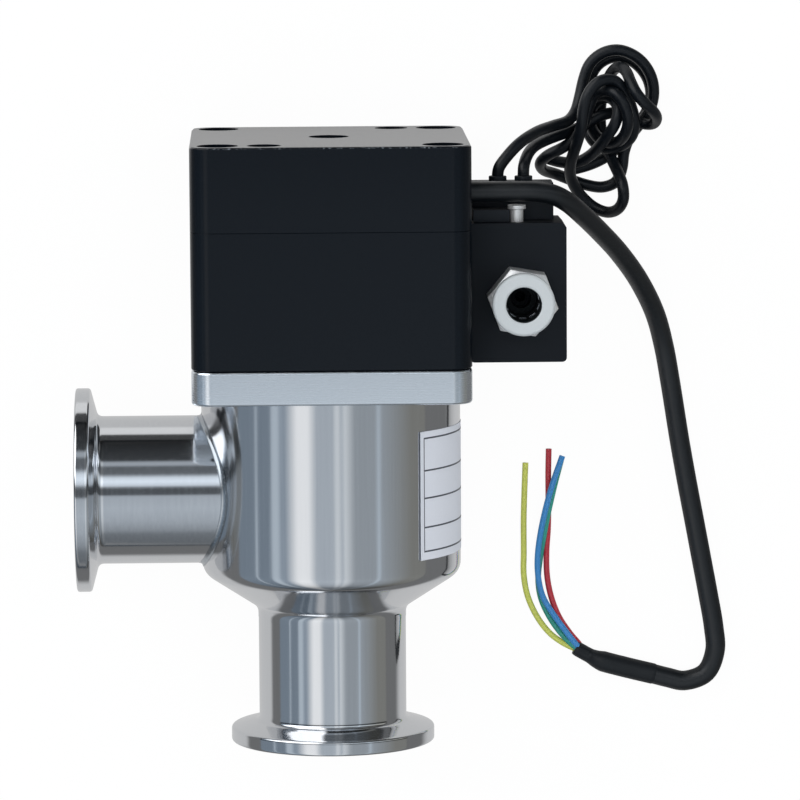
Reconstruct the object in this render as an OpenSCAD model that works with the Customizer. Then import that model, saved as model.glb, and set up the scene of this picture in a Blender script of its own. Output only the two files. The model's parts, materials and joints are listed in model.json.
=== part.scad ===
// Pneumatic vacuum angle valve with a bellows-sealed poppet and a solenoid pilot valve.
// Each piece is drawn standing on its inlet port: x to the right, y to the back, z up the stem.
// lay() then puts it down on the actuator's back, so that the stem runs along +Y
// and the front looks up along +Z. The origin is the centre of the inlet port's face.

/* [Ports] */
// Distance from each port's face to the crossing of the two port axes
port_len = 50; // [48:0.5:60]
// Outer diameter of the clamp flanges
flange_d = 40; // [38:0.5:44]
// Thickness of the flange rim
flange_rim = 2.8; // [2:0.1:4]
// Slope of the flange's clamping taper, in degrees
flange_taper = 15; // [10:1:20]
// Outer diameter of the port tubes
tube_d = 29; // [28:0.1:30]
// Wall of the port tubes
tube_wall = 1.6; // [1.5:0.1:1.8]
// Diameter of the recess for the centring ring
centring_d = 26.2; // [26.1:0.1:27]
// Depth of the recess for the centring ring
centring_depth = 3; // [2:0.1:4]

/* [Valve body] */
// Outer diameter of the body
body_d = 50.8; // [49:0.2:53]
// Wall of the body
body_wall = 1.65; // [1.2:0.05:2]
// Distance from the side port's axis down to the shoulder's edge
body_drop = 16.2; // [15.8:0.1:18]
// Distance from the side port's axis up to the square flange
body_rise = 19.5; // [18.5:0.5:24]
// Height of the conical shoulder over the inlet tube
shoulder_h = 7.1; // [5:0.1:9]
// Reach of the side port's fillet along the tube
fillet_along = 0.8; // [0.5:0.1:2]
// Reach of the side port's fillet over the body
fillet_out = 0.7; // [0.5:0.1:1.2]

/* [Poppet] */
// Height of the valve seat over the shoulder's edge
seat_rise = 2.2; // [1.5:0.1:4]
// Travel of the poppet
lift = 10; // [6:0.5:11]
// Diameter of the valve disc
disc_d = 33; // [32:0.5:36]
// Thickness of the valve disc
disc_t = 5; // [4.5:0.1:6]
// Cord diameter of the disc's seal
disc_seal_cord = 2.6; // [2:0.1:2.8]
// Diameter of the stem
stem_d = 8; // [7:0.5:9]
// Diameter of the stem's threaded end
stem_end_d = 6; // [5:0.5:6.5]
// Width across the flats of the stem's nut
stem_nut_af = 10; // [9:0.5:11]
// Height of the stem's nut
stem_nut_h = 5; // [4:0.5:6]

/* [Bellows] */
// Outer diameter of the bellows
bellows_od = 27; // [25:0.5:30]
// Inner diameter of the bellows' folds, outside the skin
bellows_id = 18; // [17:0.5:20]
// Number of folds
bellows_folds = 10; // [8:1:12]
// Radial thickness of the bellows' skin
bellows_skin = 0.9; // [0.8:0.1:1.2]
// Diameter of the bellows' mounting flange
bellows_flange_d = 46; // [45:0.5:47]
// Thickness of the bellows' mounting flange
bellows_flange_t = 4; // [3.5:0.1:5]

/* [Actuator] */
// Width of the square flange, cylinder and cover
box_w = 54; // [53:0.5:58]
// Radius of the upright corners
corner_r = 4; // [3:0.5:5]
// Chamfer of the outer edges
edge_cut = 0.4; // [0.2:0.1:0.8]
// Chamfer of the box's two halves where they meet
split_cut = 0.1; // [0.05:0.05:0.3]
// Thickness of the square flange
plate_t = 6.7; // [6.2:0.1:9]
// Thickness of the cylinder's floor
cylinder_floor = 5; // [4.5:0.1:6]
// Bore of the cylinder
cylinder_bore = 38; // [36:0.5:39]
// Height of the cover
cover_h = 16.4; // [16:0.1:20]
// Thickness of the cover's roof
cover_roof = 3.4; // [2.5:0.1:4]
// Diameter of the spring recess in the cover
cover_recess_d = 34; // [33:0.5:34.5]
// Diameter of the vent hole in the cover's roof
vent_d = 7.8; // [6:0.1:9]
// Thickness of the piston
piston_t = 7; // [6.5:0.1:8]
// Height of the foot that keeps the piston off the floor
piston_foot = 2; // [1.8:0.1:2.5]
// Mean diameter of the return spring
spring_d = 27.6; // [26:0.2:29]
// Wire of the return spring
spring_wire = 2.4; // [2:0.1:2.6]
// Turns of the return spring
spring_turns = 5; // [4:1:5]

/* [Screws] */
// Distance of the long screws' axes from the outer faces
long_screw_in = 5.4; // [5.2:0.1:5.6]
// Thread of the long screws
long_screw_d = 4; // [3.5:0.5:4]
// Head of the long screws
long_screw_head_d = 7; // [6.5:0.1:7.1]
// Distance of the cover screws from the middle
cover_screw_x = 12.7; // [11:0.1:13]
// Thread of the cover screws
cover_screw_d = 3; // [2.5:0.5:3]
// Head of the cover screws
cover_screw_head_d = 5.6; // [5:0.1:5.8]
// Depth of the heads below the cover's top
head_depth = 1.6; // [1:0.1:3]

/* [Pilot valve] */
// Width of the pilot block, away from the actuator
pilot_w = 18.8; // [18:0.1:22]
// Depth of the pilot block, front to back
pilot_depth = 16.6; // [16.4:0.1:20]
// Height of the pilot block
pilot_h = 27.1; // [26.8:0.1:30]
// Distance of the pilot block's front from the stem's axis
pilot_front = 12; // [11:0.1:14]
// Width of the coil cover
coil_cover_w = 15.9; // [15:0.1:17]
// Depth of the coil cover, front to back
coil_cover_depth = 8.1; // [7.8:0.1:9]
// Height of the coil cover
coil_cover_h = 7.1; // [6.5:0.1:8]
// Width across the flats of the tube fitting
fitting_af = 12; // [11.5:0.1:13]
// Height of the fitting's hexagon
fitting_hex_h = 7; // [6.5:0.1:9]
// Turn of the fitting's hexagon, in degrees
fitting_turn = -9.7; // [-30:0.1:30]
// Outer diameter of the release ring
release_d = 12.1; // [11:0.1:13]
// Thickness of the release ring's rim
release_rim = 2.4; // [2:0.1:3]
// Outer diameter of the air tube that the fitting takes
air_tube_d = 6; // [5.6:0.1:6.2]
// Stroke of the solenoid's plunger
plunger_stroke = 0.8; // [0.5:0.1:1]

/* [Cables] */
// Diameter of the position sensor's cable
sensor_cable_d = 4; // [3.6:0.1:4.2]
// Diameter of the coil's leads
lead_d = 2.3; // [2:0.1:2.4]
// Diameter of the sensor's wires
wire_d = 1.2; // [1:0.1:1.2]
// Diameter of the heat-shrink sleeve over the cable
shrink_d = 4.2; // [3.8:0.1:4.3]

/* [Hidden] */
$fn = 64;
// Gaps: welded or pushed home, running, seal, beside a loose piece
weld_gap = 0.05;
run_gap = 0.06;
seal_gap = 0.05;
free_gap = 0.2;
cut_over = 1;

// Radii of the ports and the body
flange_r = flange_d / 2;
tube_r = tube_d / 2;
tube_bore_r = tube_r - tube_wall;
body_r = body_d / 2;
body_bore_r = body_r - body_wall;
taper_h = (flange_r - tube_r) * tan(flange_taper);
rim_break = 0.3;

// Room in the cylinder: under the piston at rest, and over it up to the cover's spigot, which stops it
piston_gap = 0.3;
stop_gap = 0.1;
spigot_h = 2.2;
cylinder_h = cylinder_floor + piston_gap + piston_foot + piston_t + lift + stop_gap + spigot_h;

// Heights up the stem, from the inlet's face
shoulder_z = port_len - body_drop;
shoulder_foot_z = shoulder_z - shoulder_h;
shoulder_slope = shoulder_h / (body_r - tube_r);
shoulder_soft = 1.9;
seat_z = shoulder_z + seat_rise;
plate_z = port_len + body_rise;
plate_top_z = plate_z + plate_t;
recess_z = plate_top_z - bellows_flange_t;
floor_z = plate_top_z + cylinder_floor;
split_z = plate_top_z + cylinder_h;
top_z = split_z + cover_h;
roof_z = top_z - cover_roof;

// Poppet at rest, closed on its seat
seat_gap = 0.1;
disc_clear = 0.4;
disc_z = seat_z + disc_clear;
disc_top_z = disc_z + disc_t;
disc_seal_r = (tube_r + tube_bore_r) / 2;
disc_seal_z = seat_z + seat_gap + disc_seal_cord / 2;
boss_r = bellows_id / 2 - bellows_skin - free_gap;
boss_h = 1.5;
boss_top_z = disc_top_z + boss_h;
piston_z = floor_z + piston_gap;
piston_face_z = piston_z + piston_foot;
piston_top_z = piston_face_z + piston_t;
piston_r = cylinder_bore / 2 - 0.1;
piston_groove_z = piston_face_z + 1.2;
stem_r = stem_d / 2;
stem_spigot_r = stem_r - 1;
stem_end_z = piston_top_z + stem_nut_h + 1.5;
piston_seal_cord = 2;
magnet_w = 2;
magnet_h = 2.4;
magnet_z = piston_top_z - 1 - magnet_h;

// Seals and bushes round the stem
bush_wall = 2;
bush_collar_r = stem_r + bush_wall + 0.8;
bush_collar_h = 1.4;
rod_seal_cord = 2;
rod_seal_r = stem_r + rod_seal_cord / 2 + seal_gap;
rod_seal_z = plate_top_z + cylinder_floor / 2;
flange_seal_cord = 1.7;
plate_bore_r = body_bore_r - 4.25;
flange_seal_r = (plate_bore_r + bellows_flange_d / 2) / 2;

// Screw places and their holes
screw_line = box_w / 2 - long_screw_in;
long_at = [for (x = [-1, 1], y = [-1, 1]) [x, y] * screw_line];
cover_at = [[-cover_screw_x, -screw_line], [cover_screw_x, screw_line]];
thread_gap = 0.05;
hole_gap = 0.2;
counterbore_gap = 0.45;
long_head_h = 4;
cover_head_h = 3;
cover_screw_grip = 12;
long_tip_z = plate_z + 0.8;

// Pilot block and what it holds
pilot_x = box_w / 2;
pilot_right = pilot_x + pilot_w;
pilot_back = pilot_depth - pilot_front;
pilot_over = 0.2;
pilot_top_z = split_z + pilot_over;
pilot_z = pilot_top_z - pilot_h;
pilot_edge_r = 0.9;
pilot_slant_w = 0.8;
pilot_slant_h = 0.9;
fitting_x = pilot_x + 10;
fitting_share = 0.452;
fitting_z = pilot_z + fitting_share * pilot_h;
fitting_thread_r = 4.5;
fitting_thread_l = 6;
coil_pit_r = 3.4;
coil_x = fitting_x;
coil_y = pilot_back - coil_pit_r - 0.7;
coil_pit_z = fitting_z + fitting_thread_r + 1.5;
coil_r = coil_pit_r - free_gap;
coil_bore_r = 1.7;
coil_z = coil_pit_z + 1.6;
plunger_r = coil_bore_r - run_gap;
plunger_share = 0.17;
plunger_h = plunger_share * pilot_h;
plunger_z = coil_pit_z + 0.1;
pole_z = plunger_z + plunger_h + plunger_stroke + 0.1;
pole_cap_h = 0.6;
plunger_pit_r = 1;
plunger_pit_h = 3;
air_hole_r = 0.8;
air_z = floor_z + (piston_gap + piston_foot) / 2;
air_x = coil_x - coil_pit_r + air_hole_r + 0.1;
gallery_r = 1;
orifice_r = 0.6;
pilot_seal_cord = 1.1;
pilot_seal_r = 1.75;
pilot_screw_d = 2.5;
pilot_screw_head_d = 4.5;
pilot_screw_head_h = 2.5;
pilot_head_depth = 0.4;
pilot_head_x = pilot_right - pilot_head_depth - pilot_screw_head_h;
pilot_screw_off = 3.8;
pilot_screw_share = 0.118;
pilot_screw_at = [for (side = [-1, 1])
  [coil_y - pilot_screw_off, fitting_z + side * pilot_screw_share * pilot_h]];
pilot_screw_tip = pilot_x - 6;

// Coil cover, its clamp screw and the lead grommets
coil_cover_x = pilot_x + 0.8;
coil_cover_back = pilot_back;
coil_cover_front = coil_cover_back - coil_cover_depth;
coil_cover_wall = 1.2;
coil_cover_top_z = pilot_top_z + coil_cover_h;
lug_h = 2.4;
lug_reach = 6;
clamp_x = fitting_x - 0.7;
lug_right = clamp_x - 1.4;
clamp_screw_r = 1.3;
clamp_head_r = 1.8;
clamp_head_h = 0.8;
clamp_y = 4 - pilot_front;
clamp_tip_z = pilot_top_z - 5;
grommet_r = 1.75;
grommet_neck_r = 1.4;
grommet_h = 1.1;
grommet_at = [fitting_x - 4, fitting_x + 1.05];
grommet_y = (coil_cover_front + coil_cover_back) / 2;

// Tube fitting, measured outwards from the pilot block's front
tube_seat_r = air_tube_d / 2 + 0.05;
fitting_core_r = tube_seat_r - 1.05;
cage_r = tube_seat_r + 1.85;
cage_z = 1.5;
tube_seat_l = 4.5;
lip_h = 0.8;
lip_z = fitting_hex_h - lip_h;
sleeve_r = tube_seat_r + 0.95;
sleeve_bore_r = tube_seat_r + 0.2;
sleeve_z = 5.1;
bead_h = 0.6;
bead_r = sleeve_r + 0.5;
release_gap = 1.3;
release_z = fitting_hex_h + release_gap;
release_break = 0.4;
release_travel = 0.9;
tube_seal_cord = 1.7;
tube_seal_r = tube_seat_r + 0.05 + tube_seal_cord / 2;
grip_t = 0.4;
grip_z = sleeve_z - release_travel - free_gap - grip_t;
grip_teeth = 10;
grip_tooth_l = 1;
grip_slot_w = 0.7;

// Position sensor in the cover
sensor_y = -9.5;
sensor_z = split_z + 6.2;
pocket_x = [box_w / 2 - 8, box_w / 2 - 2.5];
pocket_y = [sensor_y - 4.5, sensor_y + 4.5];
pocket_h = 10.6;
board_t = 1.2;
board_w = 8;
board_h = 8;
sensor_grommet_r = sensor_cable_d / 2 + 0.6;

// Cord routes as they lie, from the exit to the free end; the table is at z = -27
sensor_route = [
  [27, 109, 9.5], [31.5, 109, 9.5], [36, 109, 9.5], [40, 108.9, 9.2], [43.3, 108.2, 8.3],
  [46.3, 106.5, 6.2], [49.4, 103.7, 2.7], [53.3, 99.7, -2.5], [57.4, 95, -8.3], [61.7, 88.8, -14.5],
  [65.3, 81.5, -20.3], [67.3, 74.5, -23.8], [68.6, 67.5, -25], [70.5, 55.5, -25], [72, 47, -25],
  [73.6, 38.5, -25], [75, 31, -25], [76.3, 24, -25], [77.4, 17.5, -25], [77.7, 12.5, -25],
  [75.8, 8, -25], [71.5, 6.4, -25], [68, 7.1, -25], [65, 7.9, -25]
];
shrink_route = [
  [65.5, 7.8, -24.9], [59.5, 9.3, -24.9], [54.2, 10.8, -24.9], [52.4, 11.6, -25.4], [49.4, 13.3, -25.4]
];
shrink_tip_d = 3;
yellow_route = [
  [49.9, 12.7, -26.2], [46.9, 14.2, -26.4], [44.3, 16.2, -26.4], [41.8, 19.5, -26.4], [39.9, 23.7, -26.4],
  [39.1, 28, -26.4], [39.1, 33, -26.4], [39.1, 39.5, -26.4], [39.3, 46, -26.4], [39.5, 51, -26.4]
];
green_route = [
  [49.9, 13, -25.1], [47, 15.7, -25.9], [44.5, 19.1, -26.4], [42.6, 23.2, -26.4], [42, 27.2, -26.4],
  [42.4, 31.6, -26.3], [43.1, 36.2, -25.6], [44, 41, -25.1], [45.3, 46.4, -25.7], [46.7, 51.5, -26.4]
];
blue_route = [
  [50, 13.5, -24.7], [47.6, 16.6, -24.8], [45, 20.2, -25.1], [42.9, 23.8, -25.2], [42, 27.5, -25.1],
  [41.8, 31.4, -25], [42.3, 36.3, -24.5], [43.5, 42.2, -24], [45, 47.3, -24.5], [46.9, 52.5, -25.2]
];
red_route = [
  [50.3, 13.9, -25.9], [48.2, 16.4, -26.4], [46.1, 19.7, -26.4], [44.6, 23.7, -26.4], [43.8, 28, -26.4],
  [43.7, 33, -26.4], [44, 37.4, -26.4], [44.1, 42.6, -26.4], [44.1, 49, -26.4], [44.2, 53.8, -26.4]
];
left_lead_route = [
  [33, 111.2, -0.6], [33.2, 112.6, -0.6], [34.8, 114.8, -1.4], [37.4, 117.3, -3.2], [41, 119.2, -7.4],
  [44.4, 120, -12.2], [47.9, 120.8, -17]
];
right_lead_route = [
  [38.05, 111.2, -0.6], [38.1, 112.6, -0.8], [38.8, 114.5, -3.8], [40.4, 116.1, -8.6], [43.1, 117.1, -13.4],
  [45.9, 117.8, -17], [48.7, 118.5, -19.6]
];
hank_ends = [[52, 109.8], [57.3, 126.3]];
hank_r = 9.3;
hank_waist = 0.3;
hank_h = 12;
table_z = -box_w / 2;

// Lays an upright piece down on the actuator's back.
module lay() {
  rotate([-90, 0, 0]) children();
}

// Turns a piece drawn up the z axis to point out of the front, from the fitting's place.
module at_fitting() {
  translate([fitting_x, -pilot_front, fitting_z]) rotate([90, 0, 0]) children();
}

// A seal ring: a round cord bent into a circle.
module seal_ring(r, cord) {
  rotate_extrude() translate([r, 0]) circle(d = cord, $fn = 24);
}

// A square block with round upright corners and chamfered top and bottom edges.
module chamfered_block(w, h, r, low_cut, top_cut) {
  inner = w / 2 - r;
  profile = [
    [-w / 2 + low_cut, 0], [w / 2 - low_cut, 0], [w / 2, low_cut], [w / 2, h - top_cut],
    [w / 2 - top_cut, h], [-w / 2 + top_cut, h], [-w / 2, h - top_cut], [-w / 2, low_cut]
  ];
  for (turn = [0, 90]) {
    rotate([90, 0, turn]) linear_extrude(2 * inner, center = true) polygon(profile);
  }
  for (x = [-inner, inner], y = [-inner, inner]) {
    translate([x, y, 0]) rotate_extrude()
      polygon([[0, 0], [r - low_cut, 0], [r, low_cut], [r, h - top_cut], [r - top_cut, h], [0, h]]);
  }
}

// A port: clamp flange with its centring recess and taper, and a tube of the given length.
module port(length) {
  rotate_extrude() polygon([
    [centring_d / 2, 0], [flange_r - rim_break, 0], [flange_r, rim_break],
    [flange_r, flange_rim - rim_break], [flange_r - rim_break, flange_rim],
    [tube_r, flange_rim + taper_h], [tube_r, length], [tube_bore_r, length],
    [tube_bore_r, centring_depth], [centring_d / 2, centring_depth]
  ]);
}

// A socket-head screw with its tip at z = 0 and its head on top.
module socket_screw(d, length, head_d, head_h) {
  difference() {
    union() {
      cylinder(d = d, h = length + 0.1);
      translate([0, 0, length]) cylinder(d = head_d, h = head_h);
    }
    translate([0, 0, length + head_h / 2]) cylinder(d = 0.9 * d, h = head_h, $fn = 6);
  }
}

function unit(v) = v / norm(v);

// Points of a curve that rounds a corner between a and b, and starts and ends at this reach from it
function soft_corner(a, corner, b, reach) =
  let (start = corner + reach * unit(a - corner))
  let (end = corner + reach * unit(b - corner))
  [for (t = [0 : 0.2 : 1]) (1 - t) * (1 - t) * start + 2 * t * (1 - t) * corner + t * t * end];

// A tube swept along points, with a radius for each point.
function heading(p, i) = unit(p[min(i + 1, len(p) - 1)] - p[max(i - 1, 0)]);
function square_to(v, t) = unit(v - (v * t) * t);
function side_of(t) = abs(t.z) < 0.9 ? square_to([0, 0, 1], t) : square_to([1, 0, 0], t);
module swept_tube(route, radii, sides) {
  last = len(route) - 1;
  ways = [for (i = [0 : last]) heading(route, i)];
  ups = [for (i = 0, u = side_of(ways[0]); i <= last;
              i = i + 1, u = i <= last ? square_to(u, ways[i]) : u) u];
  rings = [for (i = [0 : last], k = [0 : sides - 1])
    let (a = 360 * k / sides)
    route[i] + radii[i] * (cos(a) * ups[i] + sin(a) * cross(ways[i], ups[i]))];
  walls = [for (i = [0 : last - 1], k = [0 : sides - 1])
    let (n = (k + 1) % sides)
    [i * sides + k, (i + 1) * sides + k, (i + 1) * sides + n, i * sides + n]];
  start_cap = [for (k = [0 : sides - 1]) k];
  end_cap = [for (k = [sides - 1 : -1 : 0]) last * sides + k];
  polyhedron(rings, concat(walls, [start_cap, end_cap]), convexity = 6);
}
module cord(route, d, sides) {
  swept_tube(route, [for (p = route) d / 2], sides);
}

// A compression spring with closed end turns, between two heights.
module coil_spring(mean_d, wire, turns, low, high) {
  steps = 14;
  count = turns * steps;
  span = high - low - wire;
  function rise(t) = let (dead = wire / span) t < 0.15 ? dead * t / 0.15
    : t > 0.85 ? 1 - dead * (1 - t) / 0.15 : dead + (1 - 2 * dead) * (t - 0.15) / 0.7;
  route = [for (i = [0 : count])
    let (a = 360 * i / steps)
    [mean_d / 2 * cos(a), mean_d / 2 * sin(a), low + wire / 2 + span * rise(i / count)]];
  swept_tube(route, [for (p = route) wire / 2], 8);
}

module body_shell() {
  foot = [tube_r + weld_gap, shoulder_foot_z];
  color("silver") lay() difference() {
    rotate_extrude() polygon(concat(
      [foot], soft_corner(foot, [body_r, shoulder_z], [body_r, plate_z], shoulder_soft),
      [[body_r, plate_z], [body_bore_r, plate_z], [body_bore_r, shoulder_z + body_wall * shoulder_slope],
        foot + [0, 2 * body_wall * shoulder_slope]]
    ));
    translate([0, 0, port_len]) rotate([0, -90, 0])
      cylinder(r = tube_r + weld_gap, h = body_r + cut_over);
  }
}

module inlet_port() {
  color("silver") lay() port(seat_z);
}

module side_port() {
  color("silver") lay() difference() {
    translate([-port_len, 0, port_len]) rotate([0, 90, 0]) port(port_len);
    cylinder(r = body_bore_r, h = plate_z);
  }
}

// The fillet weld round the side port: at each angle round the tube a curve runs from the tube's
// wall out to the body's wall, and the ring's flat facets stay just clear of both walls.
module side_weld() {
  angles = 40;
  bends = 5;
  inner_r = tube_r / cos(180 / angles) + weld_gap;
  wall_r = body_r + 2 * weld_gap;
  function wall_x(rho, a) = -sqrt(wall_r * wall_r - pow(rho * cos(a), 2));
  function corner(a) = [wall_x(inner_r, a), inner_r];
  function curve(a, t) =
    let (tip = corner(a) - [fillet_along, 0])
    let (toe = [wall_x(inner_r + fillet_out, a), inner_r + fillet_out])
    (1 - t) * (1 - t) * tip + 2 * t * (1 - t) * corner(a) + t * t * toe;
  function section(a) = concat([for (k = [0 : bends]) curve(a, k / bends)], [corner(a) + [weld_gap, 0]]);
  per = bends + 2;
  points = [for (i = [0 : angles - 1])
    let (a = 360 * i / angles)
    for (s = section(a)) [s[0], s[1] * cos(a), s[1] * sin(a)]];
  faces = [for (i = [0 : angles - 1], k = [0 : per - 1])
    let (j = (i + 1) % angles, n = (k + 1) % per)
    [i * per + k, i * per + n, j * per + n, j * per + k]];
  color("silver") lay() translate([0, 0, port_len]) polyhedron(points, faces, convexity = 4);
}

module square_flange() {
  color("lightgray") lay() difference() {
    translate([0, 0, plate_z]) chamfered_block(box_w, plate_t, corner_r, edge_cut, edge_cut);
    translate([0, 0, plate_z - cut_over]) cylinder(r = plate_bore_r, h = plate_t + 2 * cut_over);
    translate([0, 0, recess_z]) cylinder(d = bellows_flange_d + 2 * free_gap, h = plate_t);
    for (p = long_at) {
      translate([p.x, p.y, plate_z - cut_over])
        cylinder(r = long_screw_d / 2 + thread_gap, h = plate_t + 2 * cut_over);
    }
  }
}

module flange_seal() {
  color("dimgray") lay() translate([0, 0, recess_z + flange_seal_cord / 2 + seal_gap])
    seal_ring(flange_seal_r, flange_seal_cord);
}

module bellows_flange() {
  groove = flange_seal_cord / 2 + seal_gap;
  bush_r = stem_r + bush_wall + weld_gap;
  color("lightgray") lay() difference() {
    translate([0, 0, recess_z]) cylinder(d = bellows_flange_d, h = bellows_flange_t);
    translate([0, 0, recess_z - cut_over]) cylinder(r = bush_r, h = bellows_flange_t + 2 * cut_over);
    translate([0, 0, recess_z - cut_over]) difference() {
      cylinder(r = flange_seal_r + groove, h = cut_over + 2 * groove);
      translate([0, 0, -cut_over])
        cylinder(r = flange_seal_r - groove, h = 2 * (cut_over + groove) + cut_over);
    }
  }
}

module guide_bush() {
  color("peru") lay() rotate_extrude() polygon([
    [stem_r + run_gap, recess_z - bush_collar_h], [bush_collar_r, recess_z - bush_collar_h],
    [bush_collar_r, recess_z], [stem_r + bush_wall, recess_z],
    [stem_r + bush_wall, plate_top_z], [stem_r + run_gap, plate_top_z]
  ]);
}

module bellows() {
  cuff = 0.8;
  low = disc_top_z + weld_gap;
  high = recess_z - weld_gap;
  step = (high - low - 2 * cuff) / (2 * bellows_folds);
  outer = [for (i = [0 : 2 * bellows_folds])
    [(i % 2 == 0 ? bellows_id : bellows_od) / 2, low + cuff + i * step]];
  inner = [for (i = [2 * bellows_folds : -1 : 0]) outer[i] - [bellows_skin, 0]];
  cuff_r = bellows_id / 2;
  color("silver") lay() rotate_extrude() polygon(concat(
    [[cuff_r, low]], outer, [[cuff_r, high], [cuff_r - bellows_skin, high]],
    inner, [[cuff_r - bellows_skin, low]]
  ));
}

module rod_seal() {
  color("dimgray") lay() translate([0, 0, rod_seal_z]) seal_ring(rod_seal_r, rod_seal_cord);
}

module cylinder_body() {
  groove_r = rod_seal_r + rod_seal_cord / 2 + seal_gap;
  groove_h = rod_seal_cord + 2 * seal_gap;
  color("#181d24") lay() difference() {
    translate([0, 0, plate_top_z]) chamfered_block(box_w, cylinder_h, corner_r, edge_cut, split_cut);
    translate([0, 0, floor_z]) cylinder(d = cylinder_bore, h = cylinder_h);
    translate([0, 0, plate_top_z - cut_over]) cylinder(r = stem_r + free_gap, h = cylinder_h);
    translate([0, 0, rod_seal_z - groove_h / 2]) cylinder(r = groove_r, h = groove_h);
    for (p = long_at) {
      translate([p.x, p.y, plate_top_z - cut_over])
        cylinder(r = long_screw_d / 2 + hole_gap, h = cylinder_h + 2 * cut_over);
    }
    for (p = cover_at) {
      translate([p.x, p.y, split_z - cover_screw_grip])
        cylinder(r = cover_screw_d / 2 + thread_gap, h = cover_screw_grip + cut_over);
    }
    for (p = pilot_screw_at) {
      translate([pilot_screw_tip - thread_gap, p[0], p[1]]) rotate([0, 90, 0])
        cylinder(r = pilot_screw_d / 2 + thread_gap, h = box_w / 2);
    }
    translate([0, coil_y, air_z]) rotate([0, 90, 0]) cylinder(r = air_hole_r, h = box_w);
  }
}

module cylinder_cover() {
  pocket_size = [pocket_x[1] - pocket_x[0], pocket_y[1] - pocket_y[0], pocket_h + cut_over];
  color("#181d24") lay() difference() {
    union() {
      translate([0, 0, split_z]) chamfered_block(box_w, cover_h, corner_r, split_cut, edge_cut);
      translate([0, 0, split_z - spigot_h])
        cylinder(r = cylinder_bore / 2 - weld_gap, h = spigot_h + edge_cut);
    }
    translate([0, 0, split_z - spigot_h - cut_over])
      cylinder(d = cover_recess_d, h = roof_z - split_z + spigot_h + cut_over);
    translate([0, 0, roof_z - cut_over]) cylinder(d = vent_d, h = cover_roof + 2 * cut_over);
    for (p = long_at) {
      counterbored(p, long_screw_d, long_screw_head_d, long_head_h);
    }
    for (p = cover_at) {
      counterbored(p, cover_screw_d, cover_screw_head_d, cover_head_h);
    }
    translate([pocket_x[0], pocket_y[0], split_z - cut_over]) cube(pocket_size);
    translate([pocket_x[1] - cut_over, sensor_y, sensor_z]) rotate([0, 90, 0])
      cylinder(r = sensor_grommet_r + weld_gap, h = box_w);
  }
}

// A screw hole through the cover with a counterbore for the head.
module counterbored(p, d, head_d, head_h) {
  translate([p.x, p.y, split_z - cut_over]) cylinder(r = d / 2 + hole_gap, h = cover_h + 2 * cut_over);
  translate([p.x, p.y, top_z - head_depth - head_h])
    cylinder(r = head_d / 2 + counterbore_gap, h = head_h + head_depth + cut_over);
}

module long_screws() {
  seat = top_z - head_depth - long_head_h;
  color("dimgray") lay() for (p = long_at) {
    translate([p.x, p.y, long_tip_z])
      socket_screw(long_screw_d, seat - long_tip_z, long_screw_head_d, long_head_h);
  }
}

module cover_screws() {
  seat = top_z - head_depth - cover_head_h;
  tip = split_z - cover_screw_grip + 1;
  color("dimgray") lay() for (p = cover_at) {
    translate([p.x, p.y, tip]) socket_screw(cover_screw_d, seat - tip, cover_screw_head_d, cover_head_h);
  }
}

module stem() {
  end_r = stem_end_d / 2;
  end_break = 0.6;
  color("lightgray") lay() rotate_extrude() polygon([
    [0, disc_z], [stem_spigot_r, disc_z], [stem_spigot_r, boss_top_z], [stem_r, boss_top_z],
    [stem_r, piston_z], [end_r, piston_z], [end_r, stem_end_z - end_break],
    [end_r - end_break, stem_end_z], [0, stem_end_z]
  ]);
}

module valve_disc() {
  groove = disc_seal_cord / 2 + seal_gap;
  groove_top = disc_seal_z + groove;
  color("silver") lay() difference() {
    union() {
      translate([0, 0, disc_z]) cylinder(d = disc_d, h = disc_t);
      translate([0, 0, disc_top_z - 0.1]) cylinder(r = boss_r, h = boss_h + 0.1);
    }
    translate([0, 0, disc_z - cut_over])
      cylinder(r = stem_spigot_r + weld_gap, h = disc_t + boss_h + 2 * cut_over);
    difference() {
      translate([0, 0, disc_z - cut_over])
        cylinder(r = disc_seal_r + groove, h = groove_top - disc_z + cut_over);
      translate([0, 0, disc_z - 2 * cut_over])
        cylinder(r = disc_seal_r - groove, h = groove_top - disc_z + 4 * cut_over);
    }
  }
}

module disc_seal() {
  color("#2b2b2b") lay() translate([0, 0, disc_seal_z]) seal_ring(disc_seal_r, disc_seal_cord);
}

module piston() {
  groove_r = piston_r - piston_seal_cord;
  groove_h = piston_seal_cord + 2 * seal_gap;
  groove_z = piston_groove_z;
  foot_r = stem_r + 3;
  color("lightgray") lay() rotate_extrude() polygon([
    [stem_end_d / 2 + weld_gap, piston_z], [foot_r, piston_z], [foot_r, piston_face_z],
    [piston_r, piston_face_z], [piston_r, groove_z], [groove_r, groove_z],
    [groove_r, groove_z + groove_h], [piston_r, groove_z + groove_h],
    [piston_r, magnet_z - seal_gap], [piston_r - magnet_w, magnet_z - seal_gap],
    [piston_r - magnet_w, magnet_z + magnet_h + seal_gap], [piston_r, magnet_z + magnet_h + seal_gap],
    [piston_r, piston_top_z], [stem_end_d / 2 + weld_gap, piston_top_z]
  ]);
}

module piston_seal() {
  cord_r = piston_seal_cord / 2;
  color("#2b2b2b") lay() translate([0, 0, piston_groove_z + cord_r + seal_gap])
    seal_ring(piston_r - cord_r + seal_gap / 2, piston_seal_cord);
}

module piston_magnet() {
  outer = piston_r - seal_gap;
  inner = piston_r - magnet_w + seal_gap;
  low = magnet_z;
  color("#4a4038") lay() rotate_extrude() polygon([
    [inner, low], [outer, low], [outer, low + magnet_h], [inner, low + magnet_h]
  ]);
}

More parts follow.
